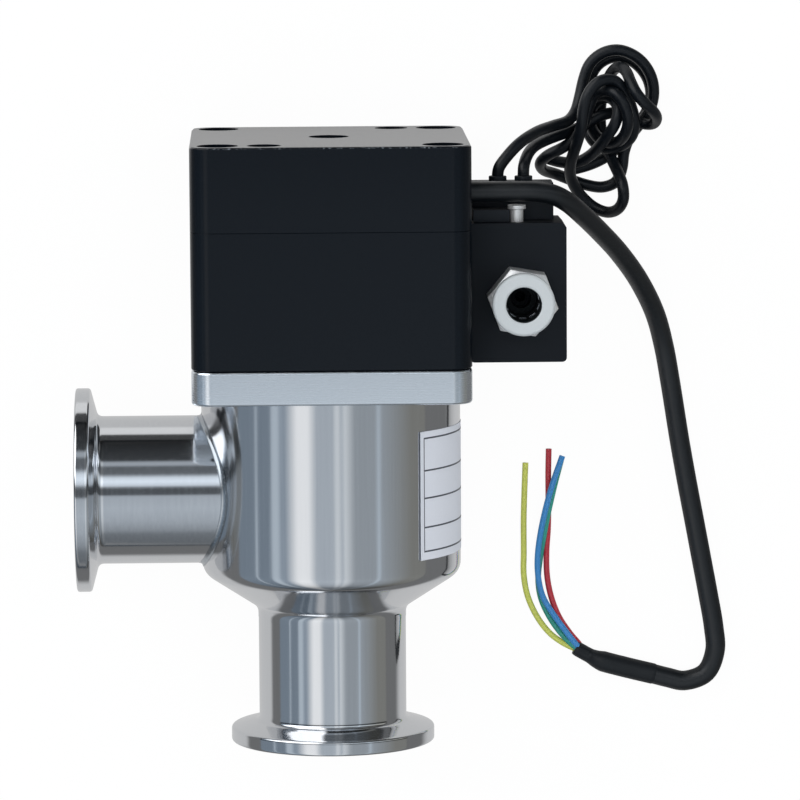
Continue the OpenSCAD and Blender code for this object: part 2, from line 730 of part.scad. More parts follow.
module stem_nut() {
  color("lightgray") lay() difference() {
    translate([0, 0, piston_top_z + weld_gap]) cylinder(r = stem_nut_af / sqrt(3), h = stem_nut_h, $fn = 6);
    translate([0, 0, piston_top_z - cut_over])
      cylinder(r = stem_end_d / 2 + thread_gap, h = stem_nut_h + 2 * cut_over);
  }
}

module return_spring() {
  low = piston_top_z + free_gap;
  color("silver") lay() coil_spring(spring_d, spring_wire, spring_turns, low, roof_z - free_gap);
}

// Block outline with slightly rounded edges, seen from the front.
// The block's front outline: three rounded corners, and a slanted one at the top right
module pilot_outline() {
  r = pilot_edge_r;
  difference() {
    union() {
      translate([pilot_x, pilot_z + r]) square([pilot_w, pilot_h - 2 * r]);
      translate([pilot_x + r, pilot_z]) square([pilot_w - 2 * r, pilot_h]);
      for (x = [pilot_x + r, pilot_right - r], z = [pilot_z + r, pilot_top_z - r]) {
        translate([x, z]) circle(r = r);
      }
    }
    translate([pilot_right, pilot_top_z]) polygon([
      [-pilot_slant_w, 0], [-pilot_slant_w, cut_over], [cut_over, cut_over],
      [cut_over, -pilot_slant_h], [0, -pilot_slant_h]
    ]);
  }
}

module pilot_block() {
  thread_end = -pilot_front + fitting_thread_l;
  color("#14191f") lay() difference() {
    translate([0, pilot_back, 0]) rotate([90, 0, 0]) linear_extrude(pilot_depth) pilot_outline();
    at_fitting() translate([0, 0, -fitting_thread_l - weld_gap])
      cylinder(r = fitting_thread_r + thread_gap, h = fitting_thread_l + cut_over);
    translate([fitting_x, thread_end - cut_over, fitting_z]) rotate([-90, 0, 0])
      cylinder(r = gallery_r, h = coil_y - thread_end + cut_over);
    translate([coil_x, coil_y, fitting_z]) cylinder(r = orifice_r, h = coil_pit_z - fitting_z + cut_over);
    translate([coil_x, coil_y, coil_pit_z]) cylinder(r = coil_pit_r, h = pilot_h);
    translate([air_x, coil_y, air_z]) cylinder(r = air_hole_r, h = coil_pit_z - air_z + cut_over);
    translate([pilot_x - cut_over, coil_y, air_z]) rotate([0, 90, 0])
      cylinder(r = air_hole_r, h = air_x - pilot_x + cut_over);
    pilot_seal_groove();
    for (p = pilot_screw_at) {
      translate([pilot_x - cut_over, p[0], p[1]]) rotate([0, 90, 0])
        cylinder(r = pilot_screw_d / 2 + hole_gap, h = pilot_w + 2 * cut_over);
      translate([pilot_head_x, p[0], p[1]]) rotate([0, 90, 0])
        cylinder(r = pilot_screw_head_d / 2 + free_gap, h = pilot_screw_head_h + cut_over);
    }
    translate([clamp_x, clamp_y, clamp_tip_z - 0.5])
      cylinder(r = clamp_screw_r + thread_gap, h = pilot_h);
  }
}

module pilot_seal_groove() {
  groove = pilot_seal_cord / 2 + seal_gap;
  translate([pilot_x, coil_y, air_z]) rotate([0, 90, 0]) difference() {
    translate([0, 0, -cut_over]) cylinder(r = pilot_seal_r + groove, h = cut_over + 2 * groove);
    translate([0, 0, -2 * cut_over]) cylinder(r = pilot_seal_r - groove, h = 4 * cut_over + 2 * groove);
  }
}

module pilot_seal() {
  color("#2b2b2b") lay() translate([pilot_x + pilot_seal_cord / 2 + seal_gap, coil_y, air_z])
    rotate([0, 90, 0]) seal_ring(pilot_seal_r, pilot_seal_cord);
}

module pilot_screws() {
  length = pilot_head_x - pilot_screw_tip;
  color("dimgray") lay() for (p = pilot_screw_at) {
    translate([pilot_screw_tip, p[0], p[1]]) rotate([0, 90, 0])
      socket_screw(pilot_screw_d, length, pilot_screw_head_d, pilot_screw_head_h);
  }
}

module coil_cover() {
  wall = coil_cover_wall;
  inner = [coil_cover_w - 2 * wall, coil_cover_depth - 2 * wall, coil_cover_h - wall + cut_over];
  color("#14191f") lay() difference() {
    union() {
      translate([coil_cover_x, coil_cover_front, pilot_top_z])
        cube([coil_cover_w, coil_cover_depth, coil_cover_h]);
      translate([coil_cover_x, coil_cover_front - lug_reach, pilot_top_z])
        cube([lug_right - coil_cover_x, lug_reach + wall, lug_h]);
    }
    translate([coil_cover_x + wall, coil_cover_front + wall, pilot_top_z - cut_over]) cube(inner);
    for (x = grommet_at) {
      translate([x, grommet_y, pilot_top_z]) cylinder(r = grommet_neck_r + weld_gap, h = 2 * coil_cover_h);
    }
  }
}

module clamp_screw() {
  head_z = pilot_top_z + lug_h + weld_gap;
  slot_w = 0.6;
  color("silver") lay() translate([clamp_x, clamp_y, 0]) difference() {
    union() {
      translate([0, 0, clamp_tip_z]) cylinder(r = clamp_screw_r, h = head_z - clamp_tip_z + 0.1);
      translate([0, 0, head_z]) cylinder(r = clamp_head_r, h = clamp_head_h);
    }
    translate([-clamp_head_r - cut_over, -slot_w / 2, head_z + clamp_head_h / 2])
      cube([2 * (clamp_head_r + cut_over), slot_w, clamp_head_h]);
  }
}

module lead_grommets() {
  low = coil_cover_top_z - coil_cover_wall - 0.4;
  color("#1a1a1a") lay() for (x = grommet_at) {
    translate([x, grommet_y, 0]) rotate_extrude() polygon([
      [0, low], [grommet_neck_r, low], [grommet_neck_r, coil_cover_top_z],
      [grommet_r, coil_cover_top_z], [grommet_r, coil_cover_top_z + grommet_h],
      [0, coil_cover_top_z + grommet_h]
    ]);
  }
}

module solenoid_coil() {
  color("darkorange") lay() translate([coil_x, coil_y, 0]) rotate_extrude() polygon([
    [coil_bore_r, coil_z], [coil_r, coil_z], [coil_r, pilot_top_z - pole_cap_h - weld_gap],
    [coil_bore_r, pilot_top_z - pole_cap_h - weld_gap]
  ]);
}

module pole_piece() {
  color("gray") lay() translate([coil_x, coil_y, 0]) rotate_extrude() polygon([
    [0, pole_z], [plunger_r, pole_z], [plunger_r, pilot_top_z - pole_cap_h],
    [coil_r, pilot_top_z - pole_cap_h], [coil_r, pilot_top_z - weld_gap], [0, pilot_top_z - weld_gap]
  ]);
}

module plunger() {
  pit_z = plunger_z + plunger_h - plunger_pit_h;
  color("gray") lay() translate([coil_x, coil_y, 0]) rotate_extrude() polygon([
    [0, plunger_z], [plunger_r, plunger_z], [plunger_r, plunger_z + plunger_h],
    [plunger_pit_r, plunger_z + plunger_h], [plunger_pit_r, pit_z], [0, pit_z]
  ]);
}

module plunger_spring() {
  wire = 0.3;
  low = plunger_z + plunger_h - plunger_pit_h + seal_gap;
  color("silver") lay() translate([coil_x, coil_y, 0])
    coil_spring(2 * (plunger_pit_r - free_gap) - wire, wire, 4, low, pole_z - seal_gap);
}

module fitting_body() {
  hex_r = fitting_af / sqrt(3);
  hex_cut_h = 0.6;
  color("lightgray") lay() at_fitting() difference() {
    union() {
      intersection() {
        rotate([0, 0, fitting_turn]) cylinder(r = hex_r, h = fitting_hex_h, $fn = 6);
        rotate_extrude() polygon([
          [0, 0], [hex_r, 0], [hex_r, fitting_hex_h - hex_cut_h], [fitting_af / 2 - 0.1, fitting_hex_h],
          [0, fitting_hex_h]
        ]);
      }
      translate([0, 0, -fitting_thread_l]) cylinder(r = fitting_thread_r, h = fitting_thread_l + 0.1);
    }
    rotate_extrude() polygon([
      [0, -fitting_thread_l - cut_over], [fitting_core_r, -fitting_thread_l - cut_over],
      [fitting_core_r, cage_z - tube_seat_l], [tube_seat_r, cage_z - tube_seat_l], [tube_seat_r, cage_z],
      [cage_r, cage_z], [cage_r, lip_z], [sleeve_r + 0.1, lip_z],
      [sleeve_r + 0.1, fitting_hex_h + cut_over], [0, fitting_hex_h + cut_over]
    ]);
  }
}

module tube_seal() {
  color("#2b2b2b") lay() at_fitting() translate([0, 0, cage_z + tube_seal_cord / 2 + seal_gap])
    seal_ring(tube_seal_r, tube_seal_cord);
}

module grip_ring() {
  color("silver") lay() at_fitting() translate([0, 0, grip_z]) linear_extrude(grip_t) difference() {
    circle(r = cage_r - weld_gap);
    circle(r = tube_seat_r + 0.1);
    for (i = [0 : grip_teeth - 1]) {
      rotate(360 * i / grip_teeth) translate([0, -grip_slot_w / 2])
        square([tube_seat_r + grip_tooth_l, grip_slot_w]);
    }
  }
}

module release_ring() {
  front = release_z + release_rim;
  rim_r = release_d / 2;
  color("whitesmoke") lay() at_fitting() rotate_extrude() polygon([
    [sleeve_bore_r, sleeve_z], [bead_r, sleeve_z], [bead_r, sleeve_z + bead_h],
    [sleeve_r, sleeve_z + bead_h], [sleeve_r, release_z], [rim_r, release_z],
    [rim_r, front - release_break], [rim_r - release_break, front],
    [sleeve_bore_r + release_break, front], [sleeve_bore_r, front - release_break]
  ]);
}

module sensor_board() {
  color("darkgreen") lay() {
    translate([pocket_x[1] - board_t - weld_gap, sensor_y - board_w / 2, sensor_z - board_h / 2])
      cube([board_t, board_w, board_h]);
    translate([pocket_x[1] - board_t - weld_gap - 1.5, sensor_y - 2, sensor_z - board_h / 2 + 1])
      cube([1.6, 4, 3]);
  }
}

module sensor_grommet() {
  color("#1a1a1a") lay() translate([pocket_x[1], sensor_y, sensor_z]) rotate([0, 90, 0])
    cylinder(r = sensor_grommet_r, h = box_w / 2 - pocket_x[1]);
}

module sensor_cable() {
  color("#15181b") cord(sensor_route, sensor_cable_d, 10);
}

module heat_shrink() {
  wide = shrink_d / 2;
  tip = shrink_tip_d / 2;
  color("#101214") swept_tube(shrink_route, [wide, wide, wide, tip, tip], 10);
}

module wire_yellow() {
  color("#b9c35c") cord(yellow_route, wire_d, 8);
}

module wire_green() {
  color("#1e8a86") cord(green_route, wire_d, 8);
}

module wire_blue() {
  color("#3b7fbf") cord(blue_route, wire_d, 8);
}

module wire_red() {
  color("#a8323c") cord(red_route, wire_d, 8);
}

module lead_left() {
  color("#15181b") cord(left_lead_route, lead_d, 8);
}

module lead_right() {
  color("#15181b") cord(right_lead_route, lead_d, 8);
}

module lead_hank() {
  way = hank_ends[1] - hank_ends[0];
  color("#15181b") translate([0, 0, table_z]) linear_extrude(hank_h) {
    for (p = hank_ends) {
      translate(p) circle(r = hank_r);
    }
    translate(hank_ends[0]) rotate(atan2(way.y, way.x)) translate([0, hank_waist - hank_r])
      square([norm(way), 2 * (hank_r - hank_waist)]);
  }
}

body_shell();
inlet_port();
side_port();
side_weld();
square_flange();
flange_seal();
bellows_flange();
guide_bush();
bellows();
rod_seal();
cylinder_body();
cylinder_cover();
long_screws();
cover_screws();
stem();
valve_disc();
disc_seal();
piston();
piston_seal();
piston_magnet();
stem_nut();
return_spring();
pilot_block();
pilot_screws();
pilot_seal();
coil_cover();
clamp_screw();
lead_grommets();
solenoid_coil();
pole_piece();
plunger();
plunger_spring();
fitting_body();
tube_seal();
grip_ring();
release_ring();
sensor_board();
sensor_grommet();
sensor_cable();
heat_shrink();
wire_yellow();
wire_green();
wire_blue();
wire_red();
lead_left();
lead_right();
lead_hank();
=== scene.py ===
# %% [markdown]
# # Vacuum angle valve
# The valve lies on its back on a white table: a polished steel elbow with two clamp flanges, a square black
# actuator, a small pilot valve on its right side and three sets of leads. The CAD solids give every size and
# place. This lesson adds the rounded edges, finishes and cords that the eye sees, in the same frame, in
# metres.

import json

import bmesh
import bpy
import numpy as np
from mathutils import Matrix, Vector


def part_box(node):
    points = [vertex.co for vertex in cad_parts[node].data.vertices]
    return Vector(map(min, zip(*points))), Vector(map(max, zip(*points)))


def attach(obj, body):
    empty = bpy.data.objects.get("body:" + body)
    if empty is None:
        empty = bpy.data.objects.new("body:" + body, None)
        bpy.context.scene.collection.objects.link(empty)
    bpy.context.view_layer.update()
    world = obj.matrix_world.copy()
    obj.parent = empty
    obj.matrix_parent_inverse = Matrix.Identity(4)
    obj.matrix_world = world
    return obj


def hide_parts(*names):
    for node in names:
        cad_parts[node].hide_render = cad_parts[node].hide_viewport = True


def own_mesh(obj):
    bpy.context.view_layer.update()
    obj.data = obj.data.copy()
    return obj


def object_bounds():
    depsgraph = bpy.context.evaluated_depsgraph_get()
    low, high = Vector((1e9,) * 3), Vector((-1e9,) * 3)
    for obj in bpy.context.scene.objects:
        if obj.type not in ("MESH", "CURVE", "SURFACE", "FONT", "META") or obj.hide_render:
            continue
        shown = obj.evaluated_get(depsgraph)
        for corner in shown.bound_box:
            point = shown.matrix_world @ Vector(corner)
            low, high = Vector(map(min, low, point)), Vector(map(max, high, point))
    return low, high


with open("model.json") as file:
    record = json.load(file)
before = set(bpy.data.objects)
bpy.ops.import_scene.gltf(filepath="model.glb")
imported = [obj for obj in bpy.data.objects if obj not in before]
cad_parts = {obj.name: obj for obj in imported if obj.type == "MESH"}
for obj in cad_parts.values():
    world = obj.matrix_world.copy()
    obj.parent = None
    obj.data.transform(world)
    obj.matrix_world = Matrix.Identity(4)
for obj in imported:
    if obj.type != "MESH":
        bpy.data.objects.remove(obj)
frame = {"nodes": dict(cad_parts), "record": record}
cad_box = [list(corner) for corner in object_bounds()]
nodes = frame["nodes"]
record = frame["record"]
node_slot = {part["node"]: part["material_slot"] for part in record["subparts"]}
body_of = {node: body for body, members in record["behaviour"]["bodies"].items() for node in members}
scene = bpy.context.scene
MM = 0.001
print(len(nodes), "solids in a box of", np.round(np.ptp(cad_box, axis=0) / MM, 1).tolist(), "mm")

# %% [markdown]
# ## Camera
# The picture was taken from above with a long lens, tipped about seven degrees towards the actuator's top.
# A camera is only a position and three axes, so they are worked out from pitch, yaw and roll and set as one
# matrix. A tracking constraint would also aim it, but could not roll it.

# %% Camera
IMAGE_PX = 800
FOCAL_PX = 5565
SENSOR_MM = 36
CAMERA_DISTANCE = 1093 * MM
CAMERA_TARGET = np.array([13.62, 67.25, 0]) * MM
pitch, yaw, roll = np.radians([7.06, -1.44, -0.35])

backward = np.array([np.sin(yaw) * np.cos(pitch), np.sin(pitch), np.cos(yaw) * np.cos(pitch)])
level_right = np.array([np.cos(yaw), 0, -np.sin(yaw)])
level_up = np.cross(backward, level_right)
rightward = np.cos(roll) * level_right + np.sin(roll) * level_up
upward = np.cos(roll) * level_up - np.sin(roll) * level_right
camera_matrix = np.eye(4)
camera_matrix[:3, :3] = np.stack([rightward, upward, backward], axis=1)
camera_matrix[:3, 3] = CAMERA_TARGET + CAMERA_DISTANCE * backward

camera_data = bpy.data.cameras.new("camera")
camera_data.sensor_width = SENSOR_MM
camera_data.lens = SENSOR_MM * FOCAL_PX / IMAGE_PX
camera = bpy.data.objects.new("camera", camera_data)
camera.matrix_world = Matrix(camera_matrix.tolist())
scene.collection.objects.link(camera)
scene.camera = camera
scene.view_settings.view_transform = "Standard"
print("camera lens", round(camera_data.lens, 1), "mm at", np.round(camera_matrix[:3, 3], 3).tolist())

# %% [markdown]
# ## Helpers for pieces
# Each new piece is a grid of points worked out as one numpy array. A tube, a turned ring and a curved label
# are all such grids, so one function joins the points into faces and another puts them into the scene.

# %% Grid and piece helpers
pieces = []


def grid_faces(rows, columns, wrap_rows=False, wrap_columns=False):
    """Quads of a rows by columns grid: point (i, j) joins (i, j+1), (i+1, j+1) and (i+1, j)."""
    row = np.arange(rows - (not wrap_rows))
    column = np.arange(columns - (not wrap_columns))
    i, j = np.meshgrid(row, column, indexing="ij")
    next_i = (i + 1) % rows
    next_j = (j + 1) % columns
    corners = [i * columns + j, i * columns + next_j, next_i * columns + next_j, next_i * columns + j]
    return np.stack(corners, axis=-1).reshape(-1, 4)


SHARP_ANGLE = np.radians(45)


def add_piece(name, points, faces, slot, body="housing", replaced=()):
    """A smooth mesh of points and faces that rides on a body, takes a material slot and stands for solids."""
    mesh = bpy.data.meshes.new(name)
    mesh.from_pydata(np.reshape(points, (-1, 3)).tolist(), [], [list(face) for face in faces])
    mesh.shade_smooth()
    mesh.set_sharp_from_angle(angle=SHARP_ANGLE)
    obj = bpy.data.objects.new(name, mesh)
    scene.collection.objects.link(obj)
    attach(obj, body)
    if replaced:
        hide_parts(*replaced)
    obj["slot_name"] = slot
    pieces.append(obj)
    return obj


def outward(points, faces):
    """Faces turned so that a closed mesh has a positive volume, the sum of its corner triple products."""
    corner = np.reshape(points, (-1, 3))[faces]
    volume = np.sum(corner[:, 0] * np.cross(corner[:, 1], corner[:, 2]))
    volume += np.sum(corner[:, 0] * np.cross(corner[:, 2], corner[:, 3]))
    return faces if volume > 0 else faces[:, ::-1]


# %% [markdown]
# ## Cords
# A lead is a round section carried along a smooth line. The line passes through the same points as the CAD
# route, as a centripetal Catmull-Rom curve, which does not overshoot where points lie close together. Even
# spacing along it keeps the rings regular, and the section needs no twist because it is round.

# %% Smooth lines and round sections
CURVE_STEPS = 24


def evenly(points, spacing):
    """The line through the points, cut at even steps of about this length."""
    travelled = np.concatenate([[0], np.cumsum(np.linalg.norm(np.diff(points, axis=0), axis=1))])
    cuts = np.linspace(0, travelled[-1], int(travelled[-1] / spacing) + 1)
    return np.stack([np.interp(cuts, travelled, points[:, axis]) for axis in range(3)], axis=1)


def smooth_line(points_mm, spacing_mm, ease_mm=0.0):
    """Catmull-Rom curve through the points, its knots spaced by the root of each gap, cut evenly, in metres.
    An ease takes a weighted mean over that length each way, with the line mirrored through its ends."""
    p = np.asarray(points_mm, float) * MM
    p = np.vstack([2 * p[0] - p[1], p, 2 * p[-1] - p[-2]])
    knot = np.concatenate([[0], np.cumsum(np.sqrt(np.linalg.norm(np.diff(p, axis=0), axis=1)))])
    k0, k1, k2, k3 = (knot[i:len(knot) - 3 + i, None, None] for i in range(4))
    p0, p1, p2, p3 = (p[i:len(p) - 3 + i, None, :] for i in range(4))
    t = k1 + (k2 - k1) * np.linspace(0, 1, CURVE_STEPS, endpoint=False)[None, :, None]
    a1 = ((k1 - t) * p0 + (t - k0) * p1) / (k1 - k0)
    a2 = ((k2 - t) * p1 + (t - k1) * p2) / (k2 - k1)
    a3 = ((k3 - t) * p2 + (t - k2) * p3) / (k3 - k2)
    b1 = ((k2 - t) * a1 + (t - k0) * a2) / (k2 - k0)
    b2 = ((k3 - t) * a2 + (t - k1) * a3) / (k3 - k1)
    curve = np.vstack([(((k2 - t) * b1 + (t - k1) * b2) / (k2 - k1)).reshape(-1, 3), p[-2]])
    line = evenly(curve, spacing_mm * MM)
    half = int(ease_mm / spacing_mm)
    if half == 0:
        return line
    padded = np.vstack([2 * line[0] - line[half:0:-1], line, 2 * line[-1] - line[-2:-half - 2:-1]])
    weight = np.hanning(2 * half + 3)[1:-1]
    weight /= weight.sum()
    return np.stack([np.convolve(padded[:, axis], weight, "valid") for axis in range(3)], axis=1)


def round_tube(line, radius, around):
    """Ring points line + radius * (cos a * side + sin a * over), with both ends closed by one flat face."""
    tangent = np.gradient(line, axis=0)
    tangent /= np.linalg.norm(tangent, axis=1, keepdims=True)
    side = np.cross([0, 0, 1], tangent)
    side /= np.linalg.norm(side, axis=1, keepdims=True)
    over = np.cross(tangent, side)
    angle = np.linspace(0, 2 * np.pi, around, endpoint=False)[None, :, None]
    reach = np.broadcast_to(radius, len(line))[:, None, None]
    points = line[:, None] + reach * (np.cos(angle) * side[:, None] + np.sin(angle) * over[:, None])
    faces = outward(points, grid_faces(len(line), around, wrap_columns=True)).tolist()
    first = list(range(around))
    last = [(len(line) - 1) * around + j for j in first]
    forward = faces[0][1] - faces[0][0] == 1
    return points, faces + [first[::-1] if forward else first, last if forward else last[::-1]]


def line_length(line):
    return float(np.sum(np.linalg.norm(np.diff(line, axis=0), axis=1)))


# %% [markdown]
# ### Sensor cable, sleeve and cores
# The position sensor's cable is a stiff 4 mm jacket that falls from the cover to the table, turns back at the
# bottom and ends in a shrunk sleeve. Four thin cores leave the sleeve and stand apart, cut off square.

# %% Sensor cable
SENSOR_CABLE_D = 4
SENSOR_ROUTE = [
    (27, 109, 9.5), (31.5, 109, 9.5), (36, 109, 9.5), (40, 108.9, 9.2), (43.3, 108.2, 8.3),
    (46.3, 106.5, 6.2), (49.4, 103.7, 2.7), (53.3, 99.7, -2.5), (57.4, 95, -8.3), (61.7, 88.8, -14.5),
    (65.3, 81.5, -20.3), (67.3, 74.5, -23.8), (68.6, 67.5, -25), (70.5, 55.5, -25), (72, 47, -25),
    (73.6, 38.5, -25), (75, 31, -25), (76.3, 24, -25), (77.4, 17.5, -25), (77.7, 12.5, -25),
    (75.8, 8, -25), (71.5, 6.4, -25), (68, 7.1, -25), (65, 7.9, -25),
]
SHRINK_ROUTE = [
    (65.5, 7.8, -24.9), (59.5, 9.3, -24.9), (54.2, 10.8, -24.9), (52.4, 11.6, -25.4), (49.4, 13.3, -25.4),
]
SHRINK_MOUTH_D = 3.9
SHRINK_D = 4.2
SHRINK_TIP_D = 3
SHRINK_LIP_D = 2.7
SHRINK_SHARES = [0, 0.02, 0.64, 0.8, 0.97, 1]
SHRINK_WIDTHS = [SHRINK_MOUTH_D, SHRINK_D, SHRINK_D, SHRINK_TIP_D, SHRINK_TIP_D, SHRINK_LIP_D]
CABLE_SPACING = 0.6
RING_SPACING = 0.4
AROUND_CABLE = 32
AROUND_CORE = 20

shrink_line = smooth_line(SHRINK_ROUTE, RING_SPACING)
shrink_d = np.interp(np.linspace(0, 1, len(shrink_line)), SHRINK_SHARES, SHRINK_WIDTHS)
shrink_tube = round_tube(shrink_line, shrink_d / 2 * MM, AROUND_CABLE)
heat_shrink = add_piece("shrunk_sleeve", *shrink_tube, "shrink_sleeve", replaced=["heat_shrink"])

sensor_line = smooth_line(SENSOR_ROUTE, CABLE_SPACING)
sensor_tube = round_tube(sensor_line, SENSOR_CABLE_D / 2 * MM, AROUND_CABLE)
sensor_cable = add_piece("sensor_lead", *sensor_tube, "cable_jacket", replaced=["sensor_cable"])
print("sensor cable", round(line_length(sensor_line) / MM, 1), "mm")

# %% Four cores
CORE_D = 1.2
CORE_ROUTES = {
    "yellow": [
        (49.9, 12.7, -26.2), (46.9, 14.2, -26.4), (44.3, 16.2, -26.4), (41.8, 19.5, -26.4),
        (39.9, 23.7, -26.4), (39.1, 28, -26.4), (39.1, 33, -26.4), (39.1, 39.5, -26.4),
        (39.3, 46, -26.4), (39.5, 51, -26.4),
    ],
    "green": [
        (49.9, 13, -25.1), (47, 15.7, -25.9), (44.5, 19.1, -26.4), (42.6, 23.2, -26.4), (42, 27.2, -26.4),
        (42.4, 31.6, -26.3), (43.1, 36.2, -25.6), (44, 41, -25.1), (45.3, 46.4, -25.7), (46.7, 51.5, -26.4),
    ],
    "blue": [
        (50, 13.5, -24.7), (47.6, 16.6, -24.8), (45, 20.2, -25.1), (42.9, 23.8, -25.2), (42, 27.5, -25.1),
        (41.8, 31.4, -25), (42.3, 36.3, -24.5), (43.5, 42.2, -24), (45, 47.3, -24.5), (46.9, 52.5, -25.2),
    ],
    "red": [
        (50.3, 13.9, -25.9), (48.2, 16.4, -26.4), (46.1, 19.7, -26.4), (44.6, 23.7, -26.4), (43.8, 28, -26.4),
        (43.7, 33, -26.4), (44, 37.4, -26.4), (44.1, 42.6, -26.4), (44.1, 49, -26.4), (44.2, 53.8, -26.4),
    ],
}
for colour, route in CORE_ROUTES.items():
    core_line = smooth_line(route, RING_SPACING)
    core_tube = round_tube(core_line, CORE_D / 2 * MM, AROUND_CORE)
    core = add_piece(f"core_{colour}", *core_tube, f"{colour}_wire", replaced=[f"wire_{colour}"])
    print(colour, "core", round(line_length(core_line) / MM, 1), "mm")

# %% [markdown]
# ### Pilot leads and their hank
# Two 2.3 mm leads leave the pilot coil, drop to the table and are wound together into a flat hank whose last
# turns wrap its waist. The CAD keeps the hank as one plain solid; here each lead is its own line from the
# grommet to its cut end. It starts with the CAD route, and its turns are traced: places in the
# picture, each with a height in millimetres, which the camera turns into places over the table.

# %% Traces of the leads
LEFT_LEAD_START = [
    (33, 111.2, -0.6), (33.2, 112.6, -0.6), (34.8, 114.8, -1.4), (37.4, 117.3, -3.2), (41, 119.2, -7.4),
    (44.4, 120, -12.2), (47.9, 120.8, -17),
]
RIGHT_LEAD_START = [
    (38.05, 111.2, -0.6), (38.1, 112.6, -0.8), (38.8, 114.5, -3.8), (40.4, 116.1, -8.6), (43.1, 117.1, -13.4),
    (45.9, 117.8, -17), (48.7, 118.5, -19.6),
]
LEFT_LEAD_TRACE = [
    (575, 113, -19.2), (579, 101.8, -20.3), (581.7, 89.2, -20.8), (584, 76, -21),
    (589, 63.7, -21.1), (598.3, 54.7, -21.1), (609.7, 50, -21), (622, 49.8, -21),
    (633.7, 54.5, -21), (644, 63.7, -21.2), (650.7, 74.7, -21.6), (653.7, 87, -22.1),
    (653.3, 99.5, -22.6), (650, 111.5, -23), (643, 121.7, -23.3), (633.5, 130, -23.4),
    (627, 140, -23.6), (623, 150.5, -23.9), (621.7, 161, -24.2), (622.3, 170.7, -24.5),
    (620.7, 179.5, -24.8), (615.8, 185.2, -25.1), (608, 187.3, -25.3), (599, 187.2, -25.5),
    (590, 185.8, -25.6), (581, 183.3, -25.7), (572, 179.8, -25.7), (563, 176, -25.6),
    (554, 172.8, -25), (545.3, 170.3, -23.6), (539.3, 165.5, -21.6), (540.5, 158.7, -19.6),
    (547.7, 154.3, -18.4), (557.5, 150.5, -18.1), (567, 145.4, -18.1), (575.5, 138, -18.2),
    (582.3, 128.5, -18.3), (586.3, 117.5, -17.8), (588.7, 106, -17.9), (592, 96, -17),
    (599, 88.7, -15.8), (608, 86.5, -14.4), (616.5, 90.7, -13.2), (623, 100.5, -12.4),
    (627.5, 112, -12.2), (628.5, 123, -12.8), (626, 133, -14.4), (619, 141, -17),
    (609.5, 143.8, -19.6), (600, 141, -21.4), (592.5, 133.5, -22.4), (589, 123, -22.6),
    (590, 111, -22), (595.3, 101, -20.8), (604, 96.5, -19), (613, 98.3, -17),
    (619.3, 105.5, -15.4), (619.7, 115, -14.5), (615, 124, -14.6), (609.3, 132, -15.4),
    (603.5, 140.3, -17), (597, 148.3, -19), (589.5, 155.5, -20.6), (581.5, 162, -21.4),
    (572.5, 164, -21.8), (563, 162.3, -22), (553.5, 160.3, -21.9), (545.5, 161, -21.7),
]
RIGHT_LEAD_TRACE = [
    (581.5, 126.7, -21.1), (590.5, 121.7, -21.4), (600, 114.5, -21.2), (611, 110.3, -21),
    (622, 112.5, -21), (631.5, 118.5, -21.2), (640, 124.2, -22), (648, 126.5, -21.6),
    (654.8, 123.5, -19.4), (656.5, 116.7, -16.4), (653.3, 110, -13.3), (647.3, 105.3, -11.8),
    (641, 101.3, -11.3), (635.7, 95.6, -11.6), (632, 87.5, -12.8), (629, 78, -14.9),
    (624.7, 69, -17.8), (618, 65.2, -20.4), (611.2, 70.7, -22.6), (607, 81, -23.8),
    (603.8, 91.5, -23.7), (601.2, 102, -24.2), (599.9, 112, -24.4), (600.1, 122, -24.5),
    (601.5, 132, -24.3), (604.5, 143, -23.9), (608.7, 153, -23.3), (613, 163.3, -22.6),
    (618.3, 174, -21), (623, 184.7, -18.2), (625, 195.5, -17.6), (622, 206.7, -19.2),
    (612, 213.3, -21.6), (600, 211.7, -23.6), (589, 203.5, -24.2), (579, 193.3, -23),
    (571.5, 182.5, -21.4), (569.3, 171, -19.6), (571, 159.5, -17.6), (574.5, 149, -15.6),
    (579, 138.5, -13.9), (582, 127, -12.8), (582.7, 115, -12.3), (584.3, 103, -12.1),
    (588.3, 91.3, -12.2), (596, 82.3, -12.6), (606.5, 78.5, -13.2), (617, 82.3, -14),
    (625, 93.3, -14.7), (630.7, 106.3, -15.3), (634.2, 119, -16.2), (634.6, 130.5, -17.3),
    (629.7, 140.2, -18.8), (620.5, 146.7, -20.2), (610, 149.5, -21.2), (600, 147, -22),
    (591.5, 140, -22.8), (587, 130, -23.5), (585.3, 118.5, -24), (586, 106.5, -24.2),
    (587.2, 94.5, -24.2), (589, 82.3, -24.2), (592.7, 71, -24.2), (599.6, 62, -24.2),
    (609, 57, -24.2), (619.7, 56, -24.2), (630, 59.3, -24.2), (639, 66.2, -24.3),
    (646.3, 75.3, -24.5), (650.7, 86.6, -25), (651.5, 98.3, -25.4), (648, 109.7, -25.7),
    (641.3, 119.5, -25.8), (634, 128.8, -25.8), (626.3, 138, -25.8), (618, 146.7, -25.8),
    (609.3, 154.7, -25.8), (600, 161.3, -25.7), (589, 165, -25.5), (577.5, 168, -25.1),
    (568, 170.5, -24.9), (560, 171, -24.5),
]


def seen_at(trace):
    """Points eye + t * ray of picture places (x, y), with t such that each ray ends at its height, in mm."""
    x, y, height = np.transpose(trace)[..., None]
    eye = camera_matrix[:3, 3] / MM
    ray = (x - IMAGE_PX / 2) / FOCAL_PX * rightward - (y - IMAGE_PX / 2) / FOCAL_PX * upward - backward
    return eye + ray * (height - eye[2]) / ray[:, 2:]


print(len(LEFT_LEAD_TRACE), "and", len(RIGHT_LEAD_TRACE), "traced places")
